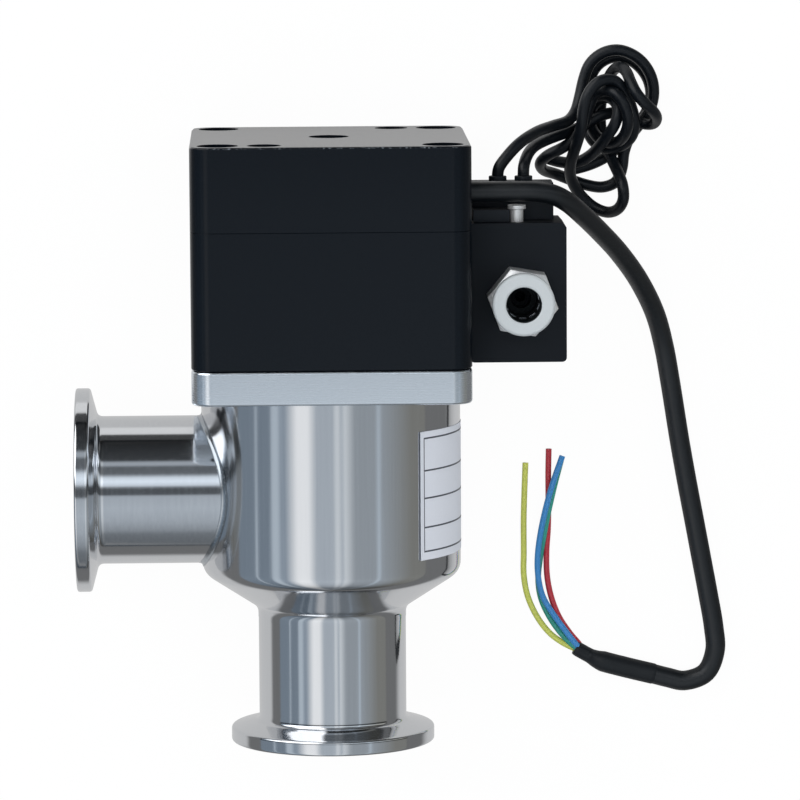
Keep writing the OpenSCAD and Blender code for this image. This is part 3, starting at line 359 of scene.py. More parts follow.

# %% [markdown]
# A trace has kinks, and its strands run into each other. A real lead is a springy rod: it bends
# evenly, rests on the table and lies on the strands below it. So the traced places pull on a line that
# resists bending, which is one linear solve, and strands nearer than a lead's width push each other apart,
# turn by turn. A physics simulation would do it too, but could not keep to the picture.

# %% Settle the hank
SETTLE_STEP = 1.1
SETTLE_TURNS = 160
STIFFNESS = 10
RISE_STIFFNESS = 15
START_HOLD = 1000.0
NEIGHBOURS = 7
NEAR = 2.34
APART = 2.36
PUSH_WEIGHTS = (0.5, 0.5, 1.0)
PUSH_SHARE = 0.3
PUSH_MOST = 0.3
LEVEL_GAP = 0.15
RETURN_SHARE = 0.02
LOWEST = -25.8
HIGHEST = -9.0
KEPT = slice(2, None, 3)
TINY = 1e-9
TIE_BREAK = 1e-6


def settle(starts, traces):
    """Lines p for which hold * |p - pull|^2 + stiffness * |p[i-1] - 2 p[i] + p[i+1]|^2 is least, in mm. Each
    turn moves the pulls apart where strands are too near, up from the table and a little back to the trace.
    The starts stay where the CAD has them, and the turns are given to a tenth of a millimetre."""
    fixed = [evenly(np.array(start), SETTLE_STEP) for start in starts]
    traced = [np.vstack([start[-1], seen_at(trace)]) for start, trace in zip(starts, traces)]
    loose = [evenly(line, SETTLE_STEP)[1:] for line in traced]
    home = np.vstack([part for pair in zip(fixed, loose) for part in pair])
    lead = np.repeat(range(len(starts)), [len(a) + len(b) for a, b in zip(fixed, loose)])
    held = np.concatenate([np.arange(len(a) + len(b)) < len(a) for a, b in zip(fixed, loose)])
    order = np.arange(len(home))
    neighbour = (lead[:, None] == lead) & (np.abs(order[:, None] - order) < NEIGHBOURS)
    above = np.sign(home[:, None, 2] - home[:, 2] + TIE_BREAK)
    second = np.diff(np.eye(len(home)), 2, axis=0)[lead[2:] == lead[:-2]]
    bend = second.T @ second
    hold = np.where(held, START_HOLD, 1.0)
    settle_plan = np.linalg.inv(np.diag(hold) + STIFFNESS * bend)
    settle_rise = np.linalg.inv(np.diag(hold) + RISE_STIFFNESS * bend)
    pull = home.copy()
    line = home.copy()
    for _ in range(SETTLE_TURNS):
        line[:, :2] = settle_plan @ (hold[:, None] * pull[:, :2])
        line[:, 2] = settle_rise @ (hold * pull[:, 2])
        gap = line[:, None] - line
        distance = np.where(neighbour, np.inf, np.linalg.norm(gap, axis=2))
        push = gap * PUSH_WEIGHTS
        push[..., 2] += np.where(np.abs(gap[..., 2]) < LEVEL_GAP, LEVEL_GAP * above, 0)
        push /= np.maximum(np.linalg.norm(push, axis=2, keepdims=True), TINY)
        strength = np.where(distance < NEAR, APART - distance, 0) * PUSH_SHARE
        move = np.clip((push * strength[..., None]).sum(axis=1), -PUSH_MOST, PUSH_MOST)
        move[:, 2] += np.clip(LOWEST - line[:, 2], 0, 1)
        pull[~held] += move[~held]
        pull[:, :2] += RETURN_SHARE * (home - pull)[:, :2]
    line[:, 2] = np.where(held, line[:, 2], np.clip(line[:, 2], LOWEST, HIGHEST))
    turns = [np.round(line[(lead == number) & ~held][KEPT], 1) for number in range(len(starts))]
    return [np.vstack([start, rest]) for start, rest in zip(starts, turns)]


# %% Pilot leads
LEAD_D = 2.3
LEAD_EASE = 0.8
LEADS = {"pilot_lead_left": ["lead_left", "lead_hank"], "pilot_lead_right": ["lead_right"]}
lead_routes = settle([LEFT_LEAD_START, RIGHT_LEAD_START], [LEFT_LEAD_TRACE, RIGHT_LEAD_TRACE])
for (name, replaced), route in zip(LEADS.items(), lead_routes):
    lead_line = smooth_line(route, RING_SPACING, LEAD_EASE)
    lead_tube = round_tube(lead_line, LEAD_D / 2 * MM, AROUND_CORE)
    lead = add_piece(name, *lead_tube, "cable_jacket", replaced=replaced)
    print(name, round(line_length(lead_line) / MM, 1), "mm")

# %% [markdown]
# ## Turned steel
# The ports are turned and polished, so no edge on them is truly sharp: each carries a thin bright line. A
# profile with its corners rounded, carried round the axis, gives that line. A Bevel modifier on the CAD mesh
# would do it too, but the grid also gives the even shading that a mirror finish needs.

# %% Rounded profiles and turned grids
SIDE_REACH = 1.6
BEND_STEPS = 8


def rounded(corners, radii, steps=BEND_STEPS - 2):
    """A closed outline with each corner p swapped for the quadratic Bezier between the points at reach r on
    its two sides. One more point on each side keeps the shading of the straight run beside it flat."""
    p = np.asarray(corners, float)
    r = np.asarray(radii, float)[:, None]
    to_last = np.roll(p, 1, axis=0) - p
    to_next = np.roll(p, -1, axis=0) - p
    to_last /= np.linalg.norm(to_last, axis=1, keepdims=True)
    to_next /= np.linalg.norm(to_next, axis=1, keepdims=True)
    t = np.linspace(0, 1, steps)[None, :, None]
    start = (p + r * to_last)[:, None]
    end = (p + r * to_next)[:, None]
    bend = (1 - t) ** 2 * start + 2 * t * (1 - t) * p[:, None] + t ** 2 * end
    before = (p + SIDE_REACH * r * to_last)[:, None]
    after = (p + SIDE_REACH * r * to_next)[:, None]
    return np.concatenate([before, bend, after], axis=1).reshape(-1, 2)


def turned(profile, around):
    """Points (r sin a, h, r cos a) of a profile of (r, h) rows carried round the Y axis."""
    a = np.linspace(0, 2 * np.pi, around, endpoint=False)[:, None]
    r, h = profile[:, 0][None], profile[:, 1][None]
    return np.stack([r * np.sin(a), np.broadcast_to(h, (around, len(profile))), r * np.cos(a)], axis=-1)


# %% Inlet port
FLANGE_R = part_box("inlet_port")[1].x / MM
SEAT_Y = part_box("inlet_port")[1].y / MM
RIM = 2.8
TUBE_R = 14.5
TAPER_ANGLE = 15
TAPER_TOP = RIM + (FLANGE_R - TUBE_R) * np.tan(np.radians(TAPER_ANGLE))
TUBE_BORE_R = 12.9
CENTRING_R = 13.1
CENTRING_DEPTH = 3
PORT_CORNERS = [
    (CENTRING_R, 0), (FLANGE_R, 0), (FLANGE_R, RIM), (TUBE_R, TAPER_TOP), (TUBE_R, SEAT_Y),
    (TUBE_BORE_R, SEAT_Y), (TUBE_BORE_R, CENTRING_DEPTH), (CENTRING_R, CENTRING_DEPTH),
]
PORT_ROUNDS = [0.15, 0.5, 0.5, 1.0, 0.2, 0.2, 0.05, 0.05]
AROUND = 192

inlet_points = turned(rounded(PORT_CORNERS, PORT_ROUNDS), AROUND) * MM
inlet_faces = outward(inlet_points, grid_faces(*inlet_points.shape[:2], True, True))
add_piece("inlet_steel", inlet_points, inlet_faces, "polished_steel", replaced=["inlet_port"])
print("inlet port", len(inlet_faces), "faces")

# %% [markdown]
# ### Side port and its weld
# The side port is the same turned part, laid along X and cut at its inner end to the body's bore: each point
# of that end runs to x = -sqrt(R^2 - z^2). The weld is a small hollow curve that leaves the tube and meets
# the body at a tangent, so its grid is one row of angles by one row of steps along the curve.

# %% Side port
BODY_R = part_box("body_shell")[1].x / MM
BODY_BORE_R = 23.75
SIDE_AXIS_Y = 50
SIDE_FACE_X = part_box("side_port")[0].x / MM

SIDE_CUT_CLEAR = 23
TURN_IN_CLEAR = 0.4
side_rows = rounded(PORT_CORNERS, PORT_ROUNDS)
turn_in = int(np.argmax(side_rows[:, 1] > SEAT_Y - TURN_IN_CLEAR))
near_cut = np.array([
    [TUBE_R, SIDE_CUT_CLEAR], [TUBE_R, SEAT_Y], [TUBE_BORE_R, SEAT_Y], [TUBE_BORE_R, SIDE_CUT_CLEAR],
])
side_profile = np.vstack([side_rows[:turn_in], near_cut, side_rows[turn_in + 2 * BEND_STEPS:]])
at_end = side_profile[:, 1] == SEAT_Y
side_r = side_profile[:, 0]
side_turn = np.linspace(0, 2 * np.pi, AROUND, endpoint=False)[:, None]
side_z = side_r[None] * np.cos(side_turn)
cut_x = -np.sqrt(BODY_BORE_R ** 2 - side_z ** 2)
side_x = np.where(at_end[None], cut_x, SIDE_FACE_X + side_profile[:, 1][None])
side_points = np.stack([side_x, SIDE_AXIS_Y + side_r[None] * np.sin(side_turn), side_z], axis=-1) * MM
side_faces = outward(side_points, grid_faces(*side_points.shape[:2], True, True))
add_piece("side_steel", side_points, side_faces, "polished_steel", replaced=["side_port"])
print("side port", len(side_faces), "faces")

# %% Weld
WELD_ALONG = 0.8
WELD_OUT = 0.7
WELD_GAP = 0.02
WELD_ROOT = 0.01
WELD_STEPS = 12

weld_turn = np.linspace(0, 2 * np.pi, AROUND, endpoint=False)[:, None]
weld_t = np.linspace(0, 1, WELD_STEPS)[None]
tube_skin = TUBE_R + WELD_GAP
body_skin = BODY_R + WELD_GAP


def saddle_x(radius):
    """x of the body's skin where a tube of this radius, at each angle of the weld, meets it."""
    return -np.sqrt(body_skin ** 2 - (radius * np.cos(weld_turn)) ** 2)


root = saddle_x(tube_skin)
toe_r = tube_skin + WELD_OUT
toe = saddle_x(toe_r)
tip = root - WELD_ALONG
bend_x = (1 - weld_t) ** 2 * tip + 2 * weld_t * (1 - weld_t) * root + weld_t ** 2 * toe
bend_r = (1 - weld_t) ** 2 * tube_skin + 2 * weld_t * (1 - weld_t) * tube_skin + weld_t ** 2 * toe_r
weld_x = np.concatenate([bend_x, root + WELD_ROOT], axis=1)
weld_r = np.concatenate([np.broadcast_to(bend_r, bend_x.shape), np.full_like(root, tube_skin)], axis=1)
weld_points = np.stack(
    [weld_x, SIDE_AXIS_Y + weld_r * np.sin(weld_turn), weld_r * np.cos(weld_turn)], axis=-1
) * MM
weld_faces = outward(weld_points, grid_faces(*weld_points.shape[:2], True, True))
weld_fillet = add_piece("weld_fillet", weld_points, weld_faces, "polished_steel", replaced=["side_weld"])
print("weld", len(weld_faces), "faces")

# %% [markdown]
# ### Body
# The body is a drawn steel tube whose lower end is necked in to the inlet: a cone with a soft shoulder above
# and a soft foot below. Its outer skin is one grid, the cells inside the side port are left out, and a
# Solidify modifier gives it the wall. The stepped edge of that hole stays inside the port's own wall, out of
# sight.

# %% Body shell
BODY_WALL = 1.65
PLATE_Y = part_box("square_flange")[0].y / MM
SHOULDER_FOOT_Y = 26.7
SHOULDER_Y = 33.8
SHOULDER_SOFT = 1.9
FOOT_SOFT = 1.3
HOLE_R = 13.7
PORT_GAP = 0.05
NECK_TAIL = 2.5
SHARP_REACH = 0.01
SOFT_STEPS = 9
BODY_ROWS = 84
BODY_AROUND = 360

neck_r = TUBE_R + PORT_GAP
neck_low = SHOULDER_FOOT_Y - NECK_TAIL
neck = [(neck_r, neck_low), (neck_r, SHOULDER_FOOT_Y), (BODY_R, SHOULDER_Y), (BODY_R, PLATE_Y)]
bends = rounded(neck, [SHARP_REACH, FOOT_SOFT, SHOULDER_SOFT, SHARP_REACH], SOFT_STEPS)
bent = bends.reshape(len(neck), -1, 2)[1:3].reshape(-1, 2)
straight = np.linspace(bent[-1, 1], PLATE_Y, BODY_ROWS)[1:]
skin_profile = np.vstack([bent, np.stack([np.full_like(straight, BODY_R), straight], axis=1)])
skin = turned(skin_profile, BODY_AROUND)
skin_faces = grid_faces(*skin.shape[:2], wrap_rows=True)
centre = skin.reshape(-1, 3)[skin_faces].mean(axis=1)
in_port = (np.hypot(centre[:, 1] - SIDE_AXIS_Y, centre[:, 2]) < HOLE_R) & (centre[:, 0] < 0)
used, skin_faces = np.unique(skin_faces[~in_port][:, ::-1], return_inverse=True)
skin_faces = skin_faces.reshape(-1, 4)
skin_points = skin.reshape(-1, 3)[used] * MM
body_shell = add_piece("body_steel", skin_points, skin_faces, "polished_steel", replaced=["body_shell"])
edge_uses = np.zeros(len(body_shell.data.loops), int)
body_shell.data.loops.foreach_get("edge_index", edge_uses)
rim_edge = np.bincount(edge_uses, minlength=len(body_shell.data.edges)) == 1
body_shell.data.edges.foreach_set("use_edge_sharp", rim_edge)
wall = body_shell.modifiers.new("wall", "SOLIDIFY")
wall.thickness = BODY_WALL * MM
wall.offset = -1
wall.use_even_offset = True
print("body", len(skin_faces), "faces")

# %% [markdown]
# ### Label
# A thin white film label is wrapped round the right of the body, with one edge a little lifted. It is a
# curved plate between two radii, so its grid is the body's own cylinder formula. Its ruled frame is drawn as
# narrow raised strips of ink, and the fields between them are bare film.

# %% Label
LABEL_START = 41.5
LABEL_END = 122.0
LABEL_LOW = 38.2
LABEL_HIGH = 63.3
LABEL_T = 0.1
LABEL_GAP = 0.02
LABEL_LIFT = 0.25
LIFT_SPAN = 6
LABEL_STEP = 1.5


def curved_plate(start, end, low, high, inner, outer, lift=0.0):
    """Points ((R + u) sin a, h, (R + u) cos a) over a box of angle, height and two depths u, start lifted."""
    a = np.radians(np.linspace(start, end, max(int((end - start) / LABEL_STEP), 2)))
    h = np.array([low, high])
    rise = lift * np.clip(1 - (np.degrees(a) - LABEL_START) / LIFT_SPAN, 0, 1) ** 2
    ring = [(inner, 0), (outer, 0), (outer, 1), (inner, 1)]
    r = np.stack([BODY_R + depth + rise for depth, _ in ring], axis=1)
    y = np.broadcast_to([h[end_row] for _, end_row in ring], r.shape)
    return np.stack([r * np.sin(a)[:, None], y, r * np.cos(a)[:, None]], axis=-1) * MM


def plate_faces(points):
    """Sides of a bar of four-point rings, with its two ends closed."""
    rows = len(points)
    ends = np.array([[0, 1, 2, 3], [4 * rows - 1, 4 * rows - 2, 4 * rows - 3, 4 * rows - 4]])
    sides = grid_faces(rows, 4, wrap_columns=True)
    side_normal = np.cross(points[0, 1] - points[0, 0], points[0, 2] - points[0, 1])
    if np.dot(side_normal, points[0, 0] - points[1, 0]) < 0:
        ends = ends[:, ::-1]
    return outward(points, np.vstack([sides, ends]))


label_points = curved_plate(LABEL_START, LABEL_END, LABEL_LOW, LABEL_HIGH, LABEL_GAP, LABEL_T, LABEL_LIFT)
label = add_piece("label_film", label_points, plate_faces(label_points), "white_moulding")

RULE_IN = LABEL_T - 0.02
RULE_OUT = LABEL_T + 0.015
RULE_OVER = 0.003
RULE_W = 0.32
RULE_SPAN = 0.5
FRAME_INSET = 2.2
FRAME_START = LABEL_START + FRAME_INSET
FRAME_END = LABEL_END - FRAME_INSET
RULE_HEIGHTS = [61.8, 55.5, 50.1, 44.4, 39.7]
rules = []
for y in RULE_HEIGHTS:
    rules.append(curved_plate(FRAME_START, FRAME_END, y, y + RULE_W, RULE_IN, RULE_OUT, LABEL_LIFT))
for a in (FRAME_START, FRAME_END - RULE_SPAN):
    rules.append(curved_plate(a, a + RULE_SPAN, RULE_HEIGHTS[-1], RULE_HEIGHTS[0] + RULE_W, RULE_IN,
                              RULE_OUT + RULE_OVER, LABEL_LIFT))
starts = np.cumsum([0] + [rule.shape[0] * 4 for rule in rules])
rule_faces = np.vstack([plate_faces(rule) + first for rule, first in zip(rules, starts)])
rule_points = np.vstack([rule.reshape(-1, 3) for rule in rules])
label_rules = add_piece("label_rules", rule_points, rule_faces, "black_moulding")
print("label from", LABEL_START, "to", LABEL_END, "degrees,", len(rules), "ruled lines")

# %% [markdown]
# ## Eased copies of machined solids
# The plate, the two actuator halves, the pilot block and the fitting keep their CAD shape, but every machined
# or moulded edge is a little eased and catches light. A merged copy of the solid with a narrow Bevel gives
# that, and normals weighted by face area keep the flat faces flat. The actuator's halves ease only their
# steeper edges, so that the split between them stays a fine line.

# %% Eased copies
EASED_MM = {
    "square_flange": 0.25, "cylinder_body": 0.22, "cylinder_cover": 0.22, "pilot_block": 0.35,
    "coil_cover": 0.3, "fitting_body": 0.15, "release_ring": 0.25, "clamp_screw": 0.15, "lead_grommets": 0.2,
    "sensor_grommet": 0.2, "pilot_screws": 0.1, "long_screws": 0.12, "cover_screws": 0.12, "grip_ring": 0.03,
}
MERGE_DISTANCE = 1e-6
FLAT_ANGLE = 0.3
FLAT_WEIGHT = 100
EDGE_ANGLE = 28
SPLIT_ANGLE = 50
SPLIT_NODES = ("cylinder_body", "cylinder_cover")
for node_name, width in EASED_MM.items():
    eased_mesh = nodes[node_name].data.copy()
    work = bmesh.new()
    work.from_mesh(eased_mesh)
    bmesh.ops.remove_doubles(work, verts=work.verts, dist=MERGE_DISTANCE)
    bmesh.ops.dissolve_limit(work, angle_limit=np.radians(FLAT_ANGLE), verts=work.verts, edges=work.edges)
    work.to_mesh(eased_mesh)
    work.free()
    eased_mesh.shade_smooth()
    eased = bpy.data.objects.new(f"{node_name}_eased", eased_mesh)
    scene.collection.objects.link(eased)
    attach(eased, body_of[node_name])
    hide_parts(node_name)
    eased["slot_name"] = node_slot[node_name]
    pieces.append(eased)
    ease = eased.modifiers.new("eased_edges", "BEVEL")
    ease.width = width * MM
    ease.segments = 2
    ease.limit_method = "ANGLE"
    ease.angle_limit = np.radians(SPLIT_ANGLE if node_name in SPLIT_NODES else EDGE_ANGLE)
    eased.modifiers.new("flat_faces", "WEIGHTED_NORMAL").weight = FLAT_WEIGHT
print(len(EASED_MM), "solids with eased edges")

# %% [markdown]
# ## Springs and bellows
# Three parts change length with the joints: the bellows, the return spring and the plunger's spring. Each is
# a piece with a mesh of its own. A coil is a round wire along a helix; the bellows is a thin wave turned
# round the axis.

# %% Coils and bellows
POINTS_PER_TURN = 40
FLAT_TURNS = 0.8
FLAT_RISE = 0.06


def helix(radius, start_y, end_y, turns, centre=(0.0, 0.0)):
    """Line (cx + r sin a, y, cz + r cos a) whose y is nearly level over its first and last turn, so ends sit
    flat."""
    a = np.linspace(0, 2 * np.pi * turns, int(turns * POINTS_PER_TURN))
    knots = [0, FLAT_TURNS, turns - FLAT_TURNS, turns]
    share = np.interp(a / (2 * np.pi), knots, [0, FLAT_RISE, 1 - FLAT_RISE, 1])
    y = start_y + (end_y - start_y) * share
    return np.stack([centre[0] + radius * np.sin(a), y, centre[1] + radius * np.cos(a)], axis=1) * MM


def squashing(obj):
    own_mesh(obj)


WIRE_MM = 2.4
WIRE_AROUND = 14
SPRING_TURNS = 5
spring_low, spring_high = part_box("return_spring")
spring_line = helix((spring_high.x - spring_low.x) / 2 / MM - WIRE_MM / 2, spring_low.y / MM + WIRE_MM / 2,
                    spring_high.y / MM - WIRE_MM / 2, SPRING_TURNS)
return_spring = add_piece("return_coil", *round_tube(spring_line, WIRE_MM / 2 * MM, WIRE_AROUND),
                          node_slot["return_spring"], body_of["return_spring"], ["return_spring"])
squashing(return_spring)

FINE_WIRE_MM = 0.3
FINE_AROUND = 8
FINE_TURNS = 6
fine_low, fine_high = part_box("plunger_spring")
fine_middle = (fine_low + fine_high) / 2 / MM
fine_line = helix((fine_high.x - fine_low.x) / 2 / MM - FINE_WIRE_MM / 2, fine_low.y / MM + FINE_WIRE_MM / 2,
                  fine_high.y / MM - FINE_WIRE_MM / 2, FINE_TURNS, (fine_middle.x, fine_middle.z))
plunger_spring = add_piece("plunger_coil", *round_tube(fine_line, FINE_WIRE_MM / 2 * MM, FINE_AROUND),
                           node_slot["plunger_spring"], body_of["plunger_spring"], ["plunger_spring"])
squashing(plunger_spring)

FOLDS = 10
FOLD_DEPTH = 4.5
FOLD_FULLNESS = 0.7
POINTS_PER_FOLD = 16
BELLOWS_SKIN = 0.5
BELLOWS_AROUND = 64
bellows_low, bellows_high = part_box("bellows")
bellows_out = bellows_high.x / MM
bellows_in = bellows_out - FOLD_DEPTH + BELLOWS_SKIN
wave = np.linspace(0, 1, FOLDS * POINTS_PER_FOLD + 1)
fold = (0.5 - 0.5 * np.cos(2 * np.pi * FOLDS * wave)) ** FOLD_FULLNESS
fold_r = bellows_in + (bellows_out - bellows_in) * fold
fold_y = bellows_low.y / MM + (bellows_high.y - bellows_low.y) / MM * wave
outer_fold = np.stack([fold_r, fold_y], axis=1)
inner_fold = np.stack([fold_r - BELLOWS_SKIN, fold_y], axis=1)[::-1]
bellows_points = turned(np.vstack([outer_fold, inner_fold]), BELLOWS_AROUND) * MM
bellows_faces = outward(bellows_points, grid_faces(*bellows_points.shape[:2], True, True))
bellows = add_piece("bellows_folds", bellows_points, bellows_faces, node_slot["bellows"], body_of["bellows"],
                    ["bellows"])
squashing(bellows)
print("coils and bellows:", len(bellows_faces), "bellows faces")

# %% [markdown]
# ## Nodes and colours
# Every finish below is a small node tree. One function adds a node with its settings and links, and one turns
# a hex colour, as read off a screen, into the linear values that the shader works in.

# %% Node and colour helpers
def linear(hex_colour):
    """sRGB to linear: c / 12.92 for c up to 0.04045, and ((c + 0.055) / 1.055) ^ 2.4 above it."""
    c = np.array([int(hex_colour[i:i + 2], 16) for i in (1, 3, 5)]) / 255
    return (*np.where(c <= 0.04045, c / 12.92, ((c + 0.055) / 1.055) ** 2.4).tolist(), 1.0)


def add(tree, kind, links=None, **settings):
    """Add one node: settings go on the node, links on its inputs, each a value or another node's output."""
    node = tree.nodes.new(kind)
    for name, value in settings.items():
        setattr(node, name, value)
    for name, value in (links or {}).items():
        if isinstance(value, bpy.types.NodeSocket):
            tree.links.new(value, node.inputs[name])
        else:
            node.inputs[name].default_value = value
    return node


MATH = "ShaderNodeMath"
VECTOR_MATH = "ShaderNodeVectorMath"
MAP_RANGE = "ShaderNodeMapRange"


def set_stops(ramp, stops):
    """Colour stops of a ramp, from a list of position and colour."""
    elements = ramp.color_ramp.elements
    while len(elements) < len(stops):
        elements.new(0.5)
    for element, (position, colour) in zip(elements, sorted(stops, key=lambda stop: stop[0])):
        element.position = position
        element.color = colour


# %% [markdown]
# ## Studio
# A polished tube shows the room, so the room is drawn: walls and lamps that change with the angle to left and
# right, and a level that changes with the angle towards the valve's top or foot. The world holds them as two
# ramps of direction, and a soft window up to the left adds one bright patch. Lamps that gloss does not see
# add the plain soft light. The table is white to the camera; to metal it is a sheet of paper, brighter at its
# far end, on a darker bench.

# %% World panels
COOL_WALL = linear("#7c8894")
COOL_LAMP = linear("#bcc7d1")
MID_WALL = linear("#939fab")
SOFT_BOX = linear("#fbfcfd")
PALE_WALL = linear("#b3bbc3")
PALE_LAMP = linear("#dbe0e4")
GREY_WALL = linear("#9ca3a9")
WARM_WALL = linear("#83837f")
PANELS_ACROSS = [
    (-90, -73, COOL_WALL), (-71.2, -70.8, COOL_LAMP), (-69, -57, COOL_WALL), (-54.5, -49.5, COOL_LAMP),
    (-46, -42, MID_WALL), (-31, -21, SOFT_BOX), (-14, 1, PALE_WALL), (3.5, 5.5, PALE_LAMP),
    (8.5, 9.5, PALE_WALL), (10.7, 11.3, PALE_LAMP), (20, 39, GREY_WALL), (41.7, 42.3, COOL_LAMP),
    (45, 46, GREY_WALL), (75, 90, WARM_WALL),
]
LEVELS_ALONG = [
    (-90, 0.3), (-75, 0.36), (-66, 0.42), (-58, 0.68), (-42, 0.95), (-22, 1.1), (-4, 1.0), (-2, 0.9),
    (0, 0.22), (8, 0.2), (11, 0.45), (14, 1.6), (20, 2.1), (26, 1.7), (29, 0.9), (32, 0.3), (43, 0.28),
    (46.5, 0.9), (50.5, 0.9), (54, 0.1), (90, 0.03),
]
WINDOW_TOWARD = (-0.62, 0.7, 0.354)
WINDOW_EDGE = 0.85
WINDOW_FADE = 0.04
WINDOW_LEVEL = 1.8


def ramp_share(angle):
    """Place on a ramp of an angle in degrees: 0 at -90, 0.5 straight up and 1 at 90."""
    return angle / 180 + 0.5


world = bpy.data.worlds.new("soft_studio")
scene.world = world
world.use_nodes = True
room = world.node_tree
room.nodes.clear()
direction = add(room, "ShaderNodeTexCoord").outputs["Generated"]
part = add(room, "ShaderNodeSeparateXYZ", {"Vector": direction}).outputs
sideways = add(room, MATH, {0: part["X"], 1: part["Z"]}, operation="ARCTAN2").outputs[0]
lengthways = add(room, MATH, {0: part["Y"]}, operation="ARCSINE").outputs[0]
to_share = {1: 1 / np.pi, 2: 0.5}
across_share = add(room, MATH, {0: sideways, **to_share}, operation="MULTIPLY_ADD").outputs[0]
along_share = add(room, MATH, {0: lengthways, **to_share}, operation="MULTIPLY_ADD").outputs[0]
across_ramp = add(room, "ShaderNodeValToRGB", {"Fac": across_share})
set_stops(across_ramp, [(ramp_share(angle), tone) for *ends, tone in PANELS_ACROSS for angle in ends])
along_ramp = add(room, "ShaderNodeValToRGB", {"Fac": along_share})
set_stops(along_ramp, [(ramp_share(angle), (level, level, level, 1)) for angle, level in LEVELS_ALONG])
walls = {0: across_ramp.outputs["Color"], 1: along_ramp.outputs["Color"]}
panels = add(room, VECTOR_MATH, walls, operation="MULTIPLY").outputs["Vector"]
toward = add(room, VECTOR_MATH, {0: direction, 1: WINDOW_TOWARD}, operation="DOT_PRODUCT").outputs["Value"]
window = {"From Min": WINDOW_EDGE, "From Max": WINDOW_EDGE + WINDOW_FADE, "To Max": WINDOW_LEVEL}
in_window = add(room, MAP_RANGE, {"Value": toward, **window}, interpolation_type="SMOOTHSTEP").outputs[0]
panel = add(room, VECTOR_MATH, {0: panels, 1: in_window}, operation="ADD").outputs["Vector"]
ray = add(room, "ShaderNodeLightPath").outputs
straight_rays = {0: ray["Is Camera Ray"], 1: ray["Is Transmission Ray"]}
seen = add(room, MATH, straight_rays, operation="MAXIMUM").outputs[0]
white_room = add(room, "ShaderNodeBackground", {"Color": linear("#ffffff"), "Strength": 1.0}).outputs[0]
panel_room = add(room, "ShaderNodeBackground", {"Color": panel, "Strength": 1.0}).outputs[0]
shown_room = add(room, "ShaderNodeMixShader", {0: seen, 1: panel_room, 2: white_room}).outputs[0]
add(room, "ShaderNodeOutputWorld", {"Surface": shown_room})
print(len(PANELS_ACROSS), "panels across and", len(LEVELS_ALONG), "levels along")

# %% White table
TABLE_SIZE = 3.0
TABLE_SEEN_WHITE = 0.96
SHEET_MIDDLE = (-17 * MM, 87 * MM)
SHEET_HALF = (63 * MM, 97 * MM)
SHEET_FADE = 42 * MM
SHEET_LEVEL = 0.6
SHEET_FAR_LEVEL = 0.82
SHEET_FAR_Y = (112 * MM, 122 * MM)
BENCH_LEVEL = 0.15
BENCH_DARK_LEVEL = 0.03
BENCH_DARK_Y = (120 * MM, 180 * MM)
table_z = cad_box[0][2]
table_mesh = bpy.data.meshes.new("white_table")
half = TABLE_SIZE / 2
corners = [(-half, -half, table_z), (half, -half, table_z), (half, half, table_z), (-half, half, table_z)]
table_mesh.from_pydata(corners, [], [(0, 1, 2, 3)])
table = bpy.data.objects.new("white_table", table_mesh)
scene.collection.objects.link(table)
table_finish = bpy.data.materials.new("white_paper_table")
table_finish.use_nodes = True
table_tree = table_finish.node_tree
table_tree.nodes.clear()
ray = add(table_tree, "ShaderNodeLightPath").outputs
place = add(table_tree, "ShaderNodeTexCoord").outputs["Object"]
spot = add(table_tree, "ShaderNodeSeparateXYZ", {"Vector": place}).outputs
on_sheet = 1.0
for axis, middle, reach in zip("XY", SHEET_MIDDLE, SHEET_HALF):
    off = add(table_tree, MATH, {0: spot[axis], 1: middle}, operation="SUBTRACT").outputs[0]
    away = add(table_tree, MATH, {0: off}, operation="ABSOLUTE").outputs[0]
    fade = {"From Min": reach, "From Max": reach + SHEET_FADE, "To Min": 1.0, "To Max": 0.0}
    inside = add(table_tree, MAP_RANGE, {"Value": away, **fade}, interpolation_type="SMOOTHSTEP").outputs[0]
    on_sheet = add(table_tree, MATH, {0: inside, 1: on_sheet}, operation="MULTIPLY").outputs[0]
bench_range = {"From Min": BENCH_DARK_Y[0], "From Max": BENCH_DARK_Y[1],
               "To Min": BENCH_LEVEL, "To Max": BENCH_DARK_LEVEL}
bench = add(table_tree, MAP_RANGE, {"Value": spot["Y"], **bench_range}).outputs[0]
sheet_range = {"From Min": SHEET_FAR_Y[0], "From Max": SHEET_FAR_Y[1],
               "To Min": SHEET_LEVEL, "To Max": SHEET_FAR_LEVEL}
sheet = add(table_tree, MAP_RANGE, {"Value": spot["Y"], **sheet_range}).outputs[0]
level = add(table_tree, MAP_RANGE, {"Value": on_sheet, "To Min": bench, "To Max": sheet}).outputs[0]
straight_rays = {0: ray["Is Camera Ray"], 1: ray["Is Transmission Ray"]}
seen = add(table_tree, MATH, straight_rays, operation="MAXIMUM").outputs[0]
glossy_or_seen = {0: ray["Is Glossy Ray"], 1: level, 2: seen}
shine = add(table_tree, MATH, glossy_or_seen, operation="MULTIPLY_ADD").outputs[0]
shown = add(table_tree, MATH, {0: seen, 1: ray["Is Glossy Ray"]}, operation="MAXIMUM").outputs[0]
white_share = add(table_tree, MATH, {0: shown, 1: TABLE_SEEN_WHITE}, operation="MULTIPLY").outputs[0]
paper = add(table_tree, "ShaderNodeBsdfDiffuse", {"Color": linear("#f4f4f4")}).outputs[0]
bright = add(table_tree, "ShaderNodeEmission", {"Color": linear("#ffffff"), "Strength": shine}).outputs[0]
table_shown = add(table_tree, "ShaderNodeMixShader", {0: white_share, 1: paper, 2: bright}).outputs[0]
add(table_tree, "ShaderNodeOutputMaterial", {"Surface": table_shown})
table_mesh.materials.append(table_finish)
print("table at z", round(table_z / MM, 1), "mm")

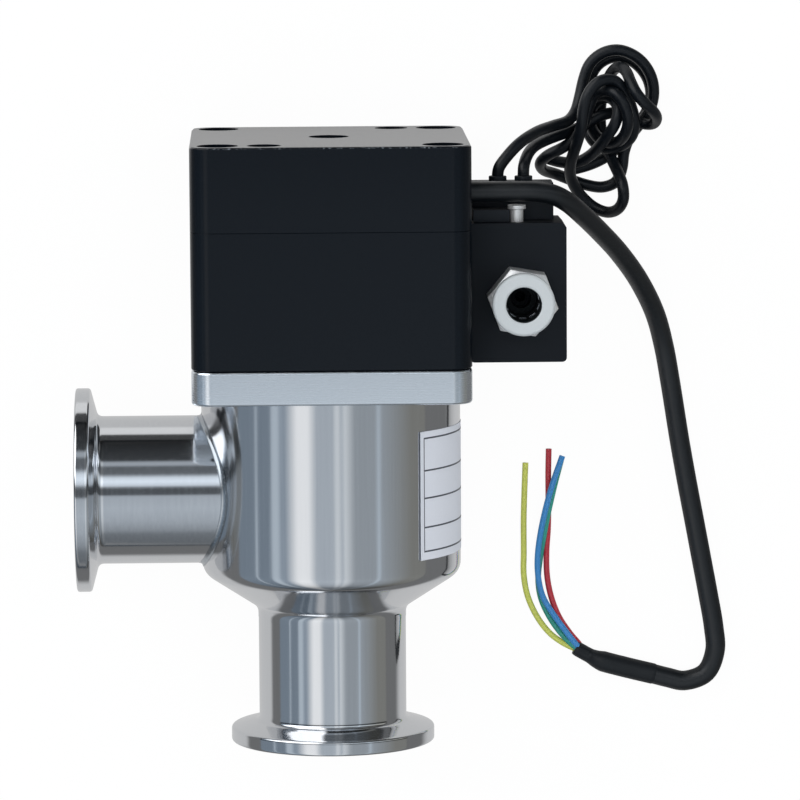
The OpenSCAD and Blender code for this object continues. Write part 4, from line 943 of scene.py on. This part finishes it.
# %% Lamps
LAMPS = {
    "overhead_box": ((0.05, 0.1, 1.1), 0.9, 6.0),
    "left_box": ((-0.9, 0.1, 0.6), 0.6, 2.2),
    "right_box": ((0.9, 0.2, 0.6), 0.6, 1.8),
}
for name, (place, size, watts) in LAMPS.items():
    lamp_data = bpy.data.lights.new(name, "AREA")
    lamp_data.shape = "SQUARE"
    lamp_data.size = size
    lamp_data.energy = watts
    lamp = bpy.data.objects.new(name, lamp_data)
    away = np.array(place) / np.linalg.norm(place)
    lamp_side = np.cross([0, 1, 0], away)
    lamp_side /= np.linalg.norm(lamp_side)
    turn = np.eye(4)
    turn[:3, :3] = np.stack([lamp_side, np.cross(away, lamp_side), away], axis=1)
    turn[:3, 3] = place
    lamp.matrix_world = Matrix(turn.tolist())
    lamp.visible_glossy = False
    lamp.visible_camera = False
    scene.collection.objects.link(lamp)
print(len(LAMPS), "lamps")

# %% [markdown]
# ## Finishes
# Most finishes here are one colour with a fine grain: the grain shifts the colour a little, the roughness a
# little more, and lifts the surface by a few microns. One function makes such a finish from sizes in
# millimetres; a stretch along one axis turns the grain into brushing or polishing lines.

# %% One grained finish
finishes = {}
GRAIN_LOW = 0.3
GRAIN_HIGH = 0.7
GRAIN_DETAIL = 4.0
LEAST_ROUGH = 0.02


def grained(name, colour, roughness, grain_mm, metallic=0.0, swing=0.08, rough_swing=0.06, lift_mm=0.002,
            stretch=(1, 1, 1), specular=0.5):
    """A Principled finish whose colour, roughness and height follow one noise of this grain size."""
    material = bpy.data.materials.new(name)
    material.use_nodes = True
    tree = material.node_tree
    tree.nodes.clear()
    place = add(tree, "ShaderNodeTexCoord").outputs["Object"]
    scale = tuple(1 / length for length in stretch)
    scaled = add(tree, "ShaderNodeMapping", {"Vector": place, "Scale": scale}).outputs[0]
    noise = {"Vector": scaled, "Scale": 1 / (grain_mm * MM), "Detail": GRAIN_DETAIL}
    grain = add(tree, "ShaderNodeTexNoise", noise).outputs["Fac"]
    base = np.array(linear(colour)[:3])
    tone = add(tree, "ShaderNodeValToRGB", {"Fac": grain})
    set_stops(tone, [(GRAIN_LOW, (*(base * (1 - swing)), 1)), (GRAIN_HIGH, (*(base * (1 + swing)), 1))])
    rough_range = {"From Min": GRAIN_LOW, "From Max": GRAIN_HIGH,
                   "To Min": max(roughness - rough_swing, LEAST_ROUGH), "To Max": roughness + rough_swing}
    rough = add(tree, MAP_RANGE, {"Value": grain, **rough_range}).outputs[0]
    lift = {"Height": grain, "Strength": 1.0, "Distance": lift_mm * MM}
    bump = add(tree, "ShaderNodeBump", lift).outputs[0]
    look = {"Base Color": tone.outputs["Color"], "Roughness": rough, "Metallic": metallic, "Normal": bump,
            "Specular IOR Level": specular}
    shader = add(tree, "ShaderNodeBsdfPrincipled", look)
    add(tree, "ShaderNodeOutputMaterial", {"Surface": shader.outputs[0]})
    return material


def mix_in(material, amount, code):
    """Base colour of a finish = (1 - amount) * what it was + amount * a hex colour."""
    tree = material.node_tree
    base = next(node for node in tree.nodes if node.type == "BSDF_PRINCIPLED").inputs["Base Color"]
    colours = {0: amount, 6: base.links[0].from_socket, 7: linear(code)}
    mixed = add(tree, "ShaderNodeMix", colours, data_type="RGBA").outputs[2]
    tree.links.new(mixed, base)


# %% [markdown]
# ### Steel, aluminium and plating
# The elbow is stainless steel polished along its length: nearly a mirror, with fine lines along Y that draw
# each reflection out. The plate is milled, so its lines are coarser and run across, and the weld is pickled
# to a duller grey. Black anodised aluminium is a dark dyed oxide: it looks deep black face on and pale grey
# at a glancing angle, where it mirrors the table. The pilot block's oxide is blasted matt.

# %% Metals
finishes["polished_steel"] = grained("polished_stainless_steel", "#dcdee1", 0.1, 0.5, metallic=1.0,
                                     swing=0.02, rough_swing=0.025, lift_mm=0.0006, stretch=(1, 40, 1))
finishes["brushed_steel"] = grained("milled_stainless_plate", "#eff5fb", 0.24, 0.12, metallic=1.0, swing=0.04,
                                    rough_swing=0.06, lift_mm=0.0016, stretch=(60, 1, 60))
weld_finish = grained("pickled_steel_weld", "#b3b9bf", 0.22, 0.4, metallic=1.0, swing=0.08, lift_mm=0.002)
finishes["black_anodised"] = grained("black_anodised_aluminium", "#060c13", 0.24, 0.12, swing=0.25,
                                     rough_swing=0.05, lift_mm=0.0012, specular=0.25)
matt_anodised = grained("matt_black_anodised_aluminium", "#0b1016", 0.55, 0.12, swing=0.25, rough_swing=0.05,
                        lift_mm=0.0015, specular=0.25)
finishes["bare_aluminium"] = grained("turned_aluminium", "#c9cbcd", 0.3, 0.1, metallic=1.0,
                                     stretch=(20, 1, 20))
finishes["black_screw"] = grained("black_oxide_steel", "#1c1d1f", 0.38, 0.15, metallic=0.6, swing=0.2)
finishes["nickel"] = grained("nickel_plated_brass", "#eeefef", 0.38, 0.4, metallic=0.72, swing=0.04,
                             rough_swing=0.08, lift_mm=0.0015)
finishes["bronze"] = grained("sintered_bronze", "#b08a5c", 0.45, 0.12, metallic=1.0, swing=0.2, lift_mm=0.01)
finishes["magnet"] = grained("bonded_magnet", "#3a3836", 0.55, 0.2, metallic=0.3, swing=0.15)
finishes["copper_coil"] = grained("enamelled_copper_wire", "#b4602f", 0.28, 0.15, metallic=1.0, swing=0.15,
                                  lift_mm=0.02, stretch=(20, 1, 20))
print(len(finishes), "metal finishes")

# %% [markdown]
# ### Wear on the box
# The oxide is thin, and the top front edge of the cover is rubbed through to bare metal in small specks. A
# band along that edge, found from the object's own coordinates, is broken up by a speckle and mixed into the
# colour.

# %% Rubbed edge
WEAR_BAND = 0.34 * MM
WEAR_SPECK = 0.5 * MM
SPECK_DETAIL = 3.0
WEAR_RANGE = {"From Min": 0.52, "From Max": 0.7, "To Max": 0.5}
cover_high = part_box("cylinder_cover")[1]
box_tree = finishes["black_anodised"].node_tree
place = add(box_tree, "ShaderNodeTexCoord").outputs["Object"]
spot = add(box_tree, "ShaderNodeSeparateXYZ", {"Vector": place}).outputs
top_band = {0: spot["Y"], 1: cover_high.y - WEAR_BAND}
near_top = add(box_tree, MATH, top_band, operation="GREATER_THAN").outputs[0]
front_band = {0: spot["Z"], 1: cover_high.z - WEAR_BAND}
near_front = add(box_tree, MATH, front_band, operation="GREATER_THAN").outputs[0]
on_edge = add(box_tree, MATH, {0: near_top, 1: near_front}, operation="MULTIPLY").outputs[0]
speckle = {"Vector": place, "Scale": 1 / WEAR_SPECK, "Detail": SPECK_DETAIL}
speck = add(box_tree, "ShaderNodeTexNoise", speckle).outputs["Fac"]
rubbed = add(box_tree, MAP_RANGE, {"Value": speck, **WEAR_RANGE}).outputs[0]
worn = add(box_tree, MATH, {0: rubbed, 1: on_edge}, operation="MULTIPLY").outputs[0]
mix_in(finishes["black_anodised"], worn, "#8d949b")
print("rubbed edge at y", round(cover_high.y / MM, 1), "z", round(cover_high.z / MM, 1))

# %% [markdown]
# ### Mouldings, rubber and cords
# The coil cover is glass-filled nylon, matt with a fine spark-eroded texture. The release ring is white
# acetal, waxy to the eye. The leads are soft PVC with a satin sheen, the sensor cable's sheath is glossier,
# the sleeve is matt, and the cores are thin coloured PVC.

# %% Plastics and rubber
finishes["black_moulding"] = grained("glass_filled_nylon", "#10151b", 0.5, 0.25, swing=0.2, lift_mm=0.006,
                                     specular=0.3)
finishes["white_moulding"] = grained("white_acetal", "#b4b9bb", 0.42, 0.6, swing=0.02, lift_mm=0.002)
finishes["seal_rubber"] = grained("black_nitrile_rubber", "#17181a", 0.6, 0.2, swing=0.15, lift_mm=0.004)
finishes["circuit_board"] = grained("green_circuit_board", "#1d5a37", 0.4, 0.5, swing=0.12)
finishes["cable_jacket"] = grained("satin_black_pvc", "#0a0e13", 0.36, 0.5, swing=0.2, rough_swing=0.08,
                                   lift_mm=0.004, specular=0.34)
sheath_finish = grained("glossy_black_pvc_sheath", "#0b0f13", 0.38, 0.5, swing=0.2, rough_swing=0.08,
                        lift_mm=0.004, specular=0.6)
finishes["shrink_sleeve"] = grained("matt_black_polyolefin", "#0f1317", 0.5, 0.7, swing=0.2, lift_mm=0.012,
                                    specular=0.4)
CORE_COLOURS = {"yellow": "#c3c95c", "green": "#2a8f80", "blue": "#3480bd", "red": "#ad2c38"}
for colour, code in CORE_COLOURS.items():
    finishes[f"{colour}_wire"] = grained(f"{colour}_core_pvc", code, 0.38, 0.8, swing=0.06, lift_mm=0.002)
label_finish = grained("matt_white_label_film", "#d9dce4", 0.55, 0.3, swing=0.015, lift_mm=0.001)
rule_finish = grained("printed_black_line", "#4a4e55", 0.5, 0.3, swing=0.1, lift_mm=0.0005)
print(len(finishes), "finishes in all")

# %% [markdown]
# ### Painted shade inside the air fitting
# Little light gets into the fitting, and the shade between the grip ring's teeth makes its bore dark. That
# shade is painted: the finishes of the release ring and of the fitting's body turn dark within a radius of
# the fitting's axis.

# %% Painted shade in the bore
FITTING_AXIS = (37 * MM, 88.15 * MM, 0)
ACROSS_AXIS = (1, 1, 0)
RING_BORE_R = 3.45 * MM
SEAT_R = 4.6 * MM


def paint_bore_shade(material, bore_radius, code):
    """Painted shade: darken a finish where sqrt(dx^2 + dy^2) from the fitting's axis is less than the bore's
    radius.
    """
    tree = material.node_tree
    here = add(tree, "ShaderNodeTexCoord").outputs["Object"]
    away = add(tree, VECTOR_MATH, {0: here, 1: FITTING_AXIS}, operation="SUBTRACT").outputs[0]
    flat = add(tree, VECTOR_MATH, {0: away, 1: ACROSS_AXIS}, operation="MULTIPLY").outputs[0]
    radius = add(tree, VECTOR_MATH, {0: flat}, operation="LENGTH").outputs["Value"]
    in_bore = add(tree, MATH, {0: radius, 1: bore_radius}, operation="LESS_THAN").outputs[0]
    mix_in(material, in_bore, code)


# Painted shade: the ring's bore and the fitting body's seat are darkened to near black.
paint_bore_shade(finishes["white_moulding"], RING_BORE_R, "#15191b")
paint_bore_shade(finishes["nickel"], SEAT_R, "#1b2022")
print("bore dark within", SEAT_R / MM, "mm of the fitting's axis")

# %% Put the finishes on
for piece in pieces:
    piece.data.materials.clear()
    piece.data.materials.append(finishes[piece["slot_name"]])
for node_name, node in nodes.items():
    node.data.materials.clear()
    node.data.materials.append(finishes[node_slot[node_name]])
matt_block = next(piece for piece in pieces if piece.name == "pilot_block_eased")
matt_block.data.materials[0] = matt_anodised
weld_fillet.data.materials[0] = weld_finish
sensor_cable.data.materials[0] = sheath_finish
label.data.materials[0] = label_finish
label_rules.data.materials[0] = rule_finish
print(len(pieces), "pieces and", len(nodes), "solids have a finish")
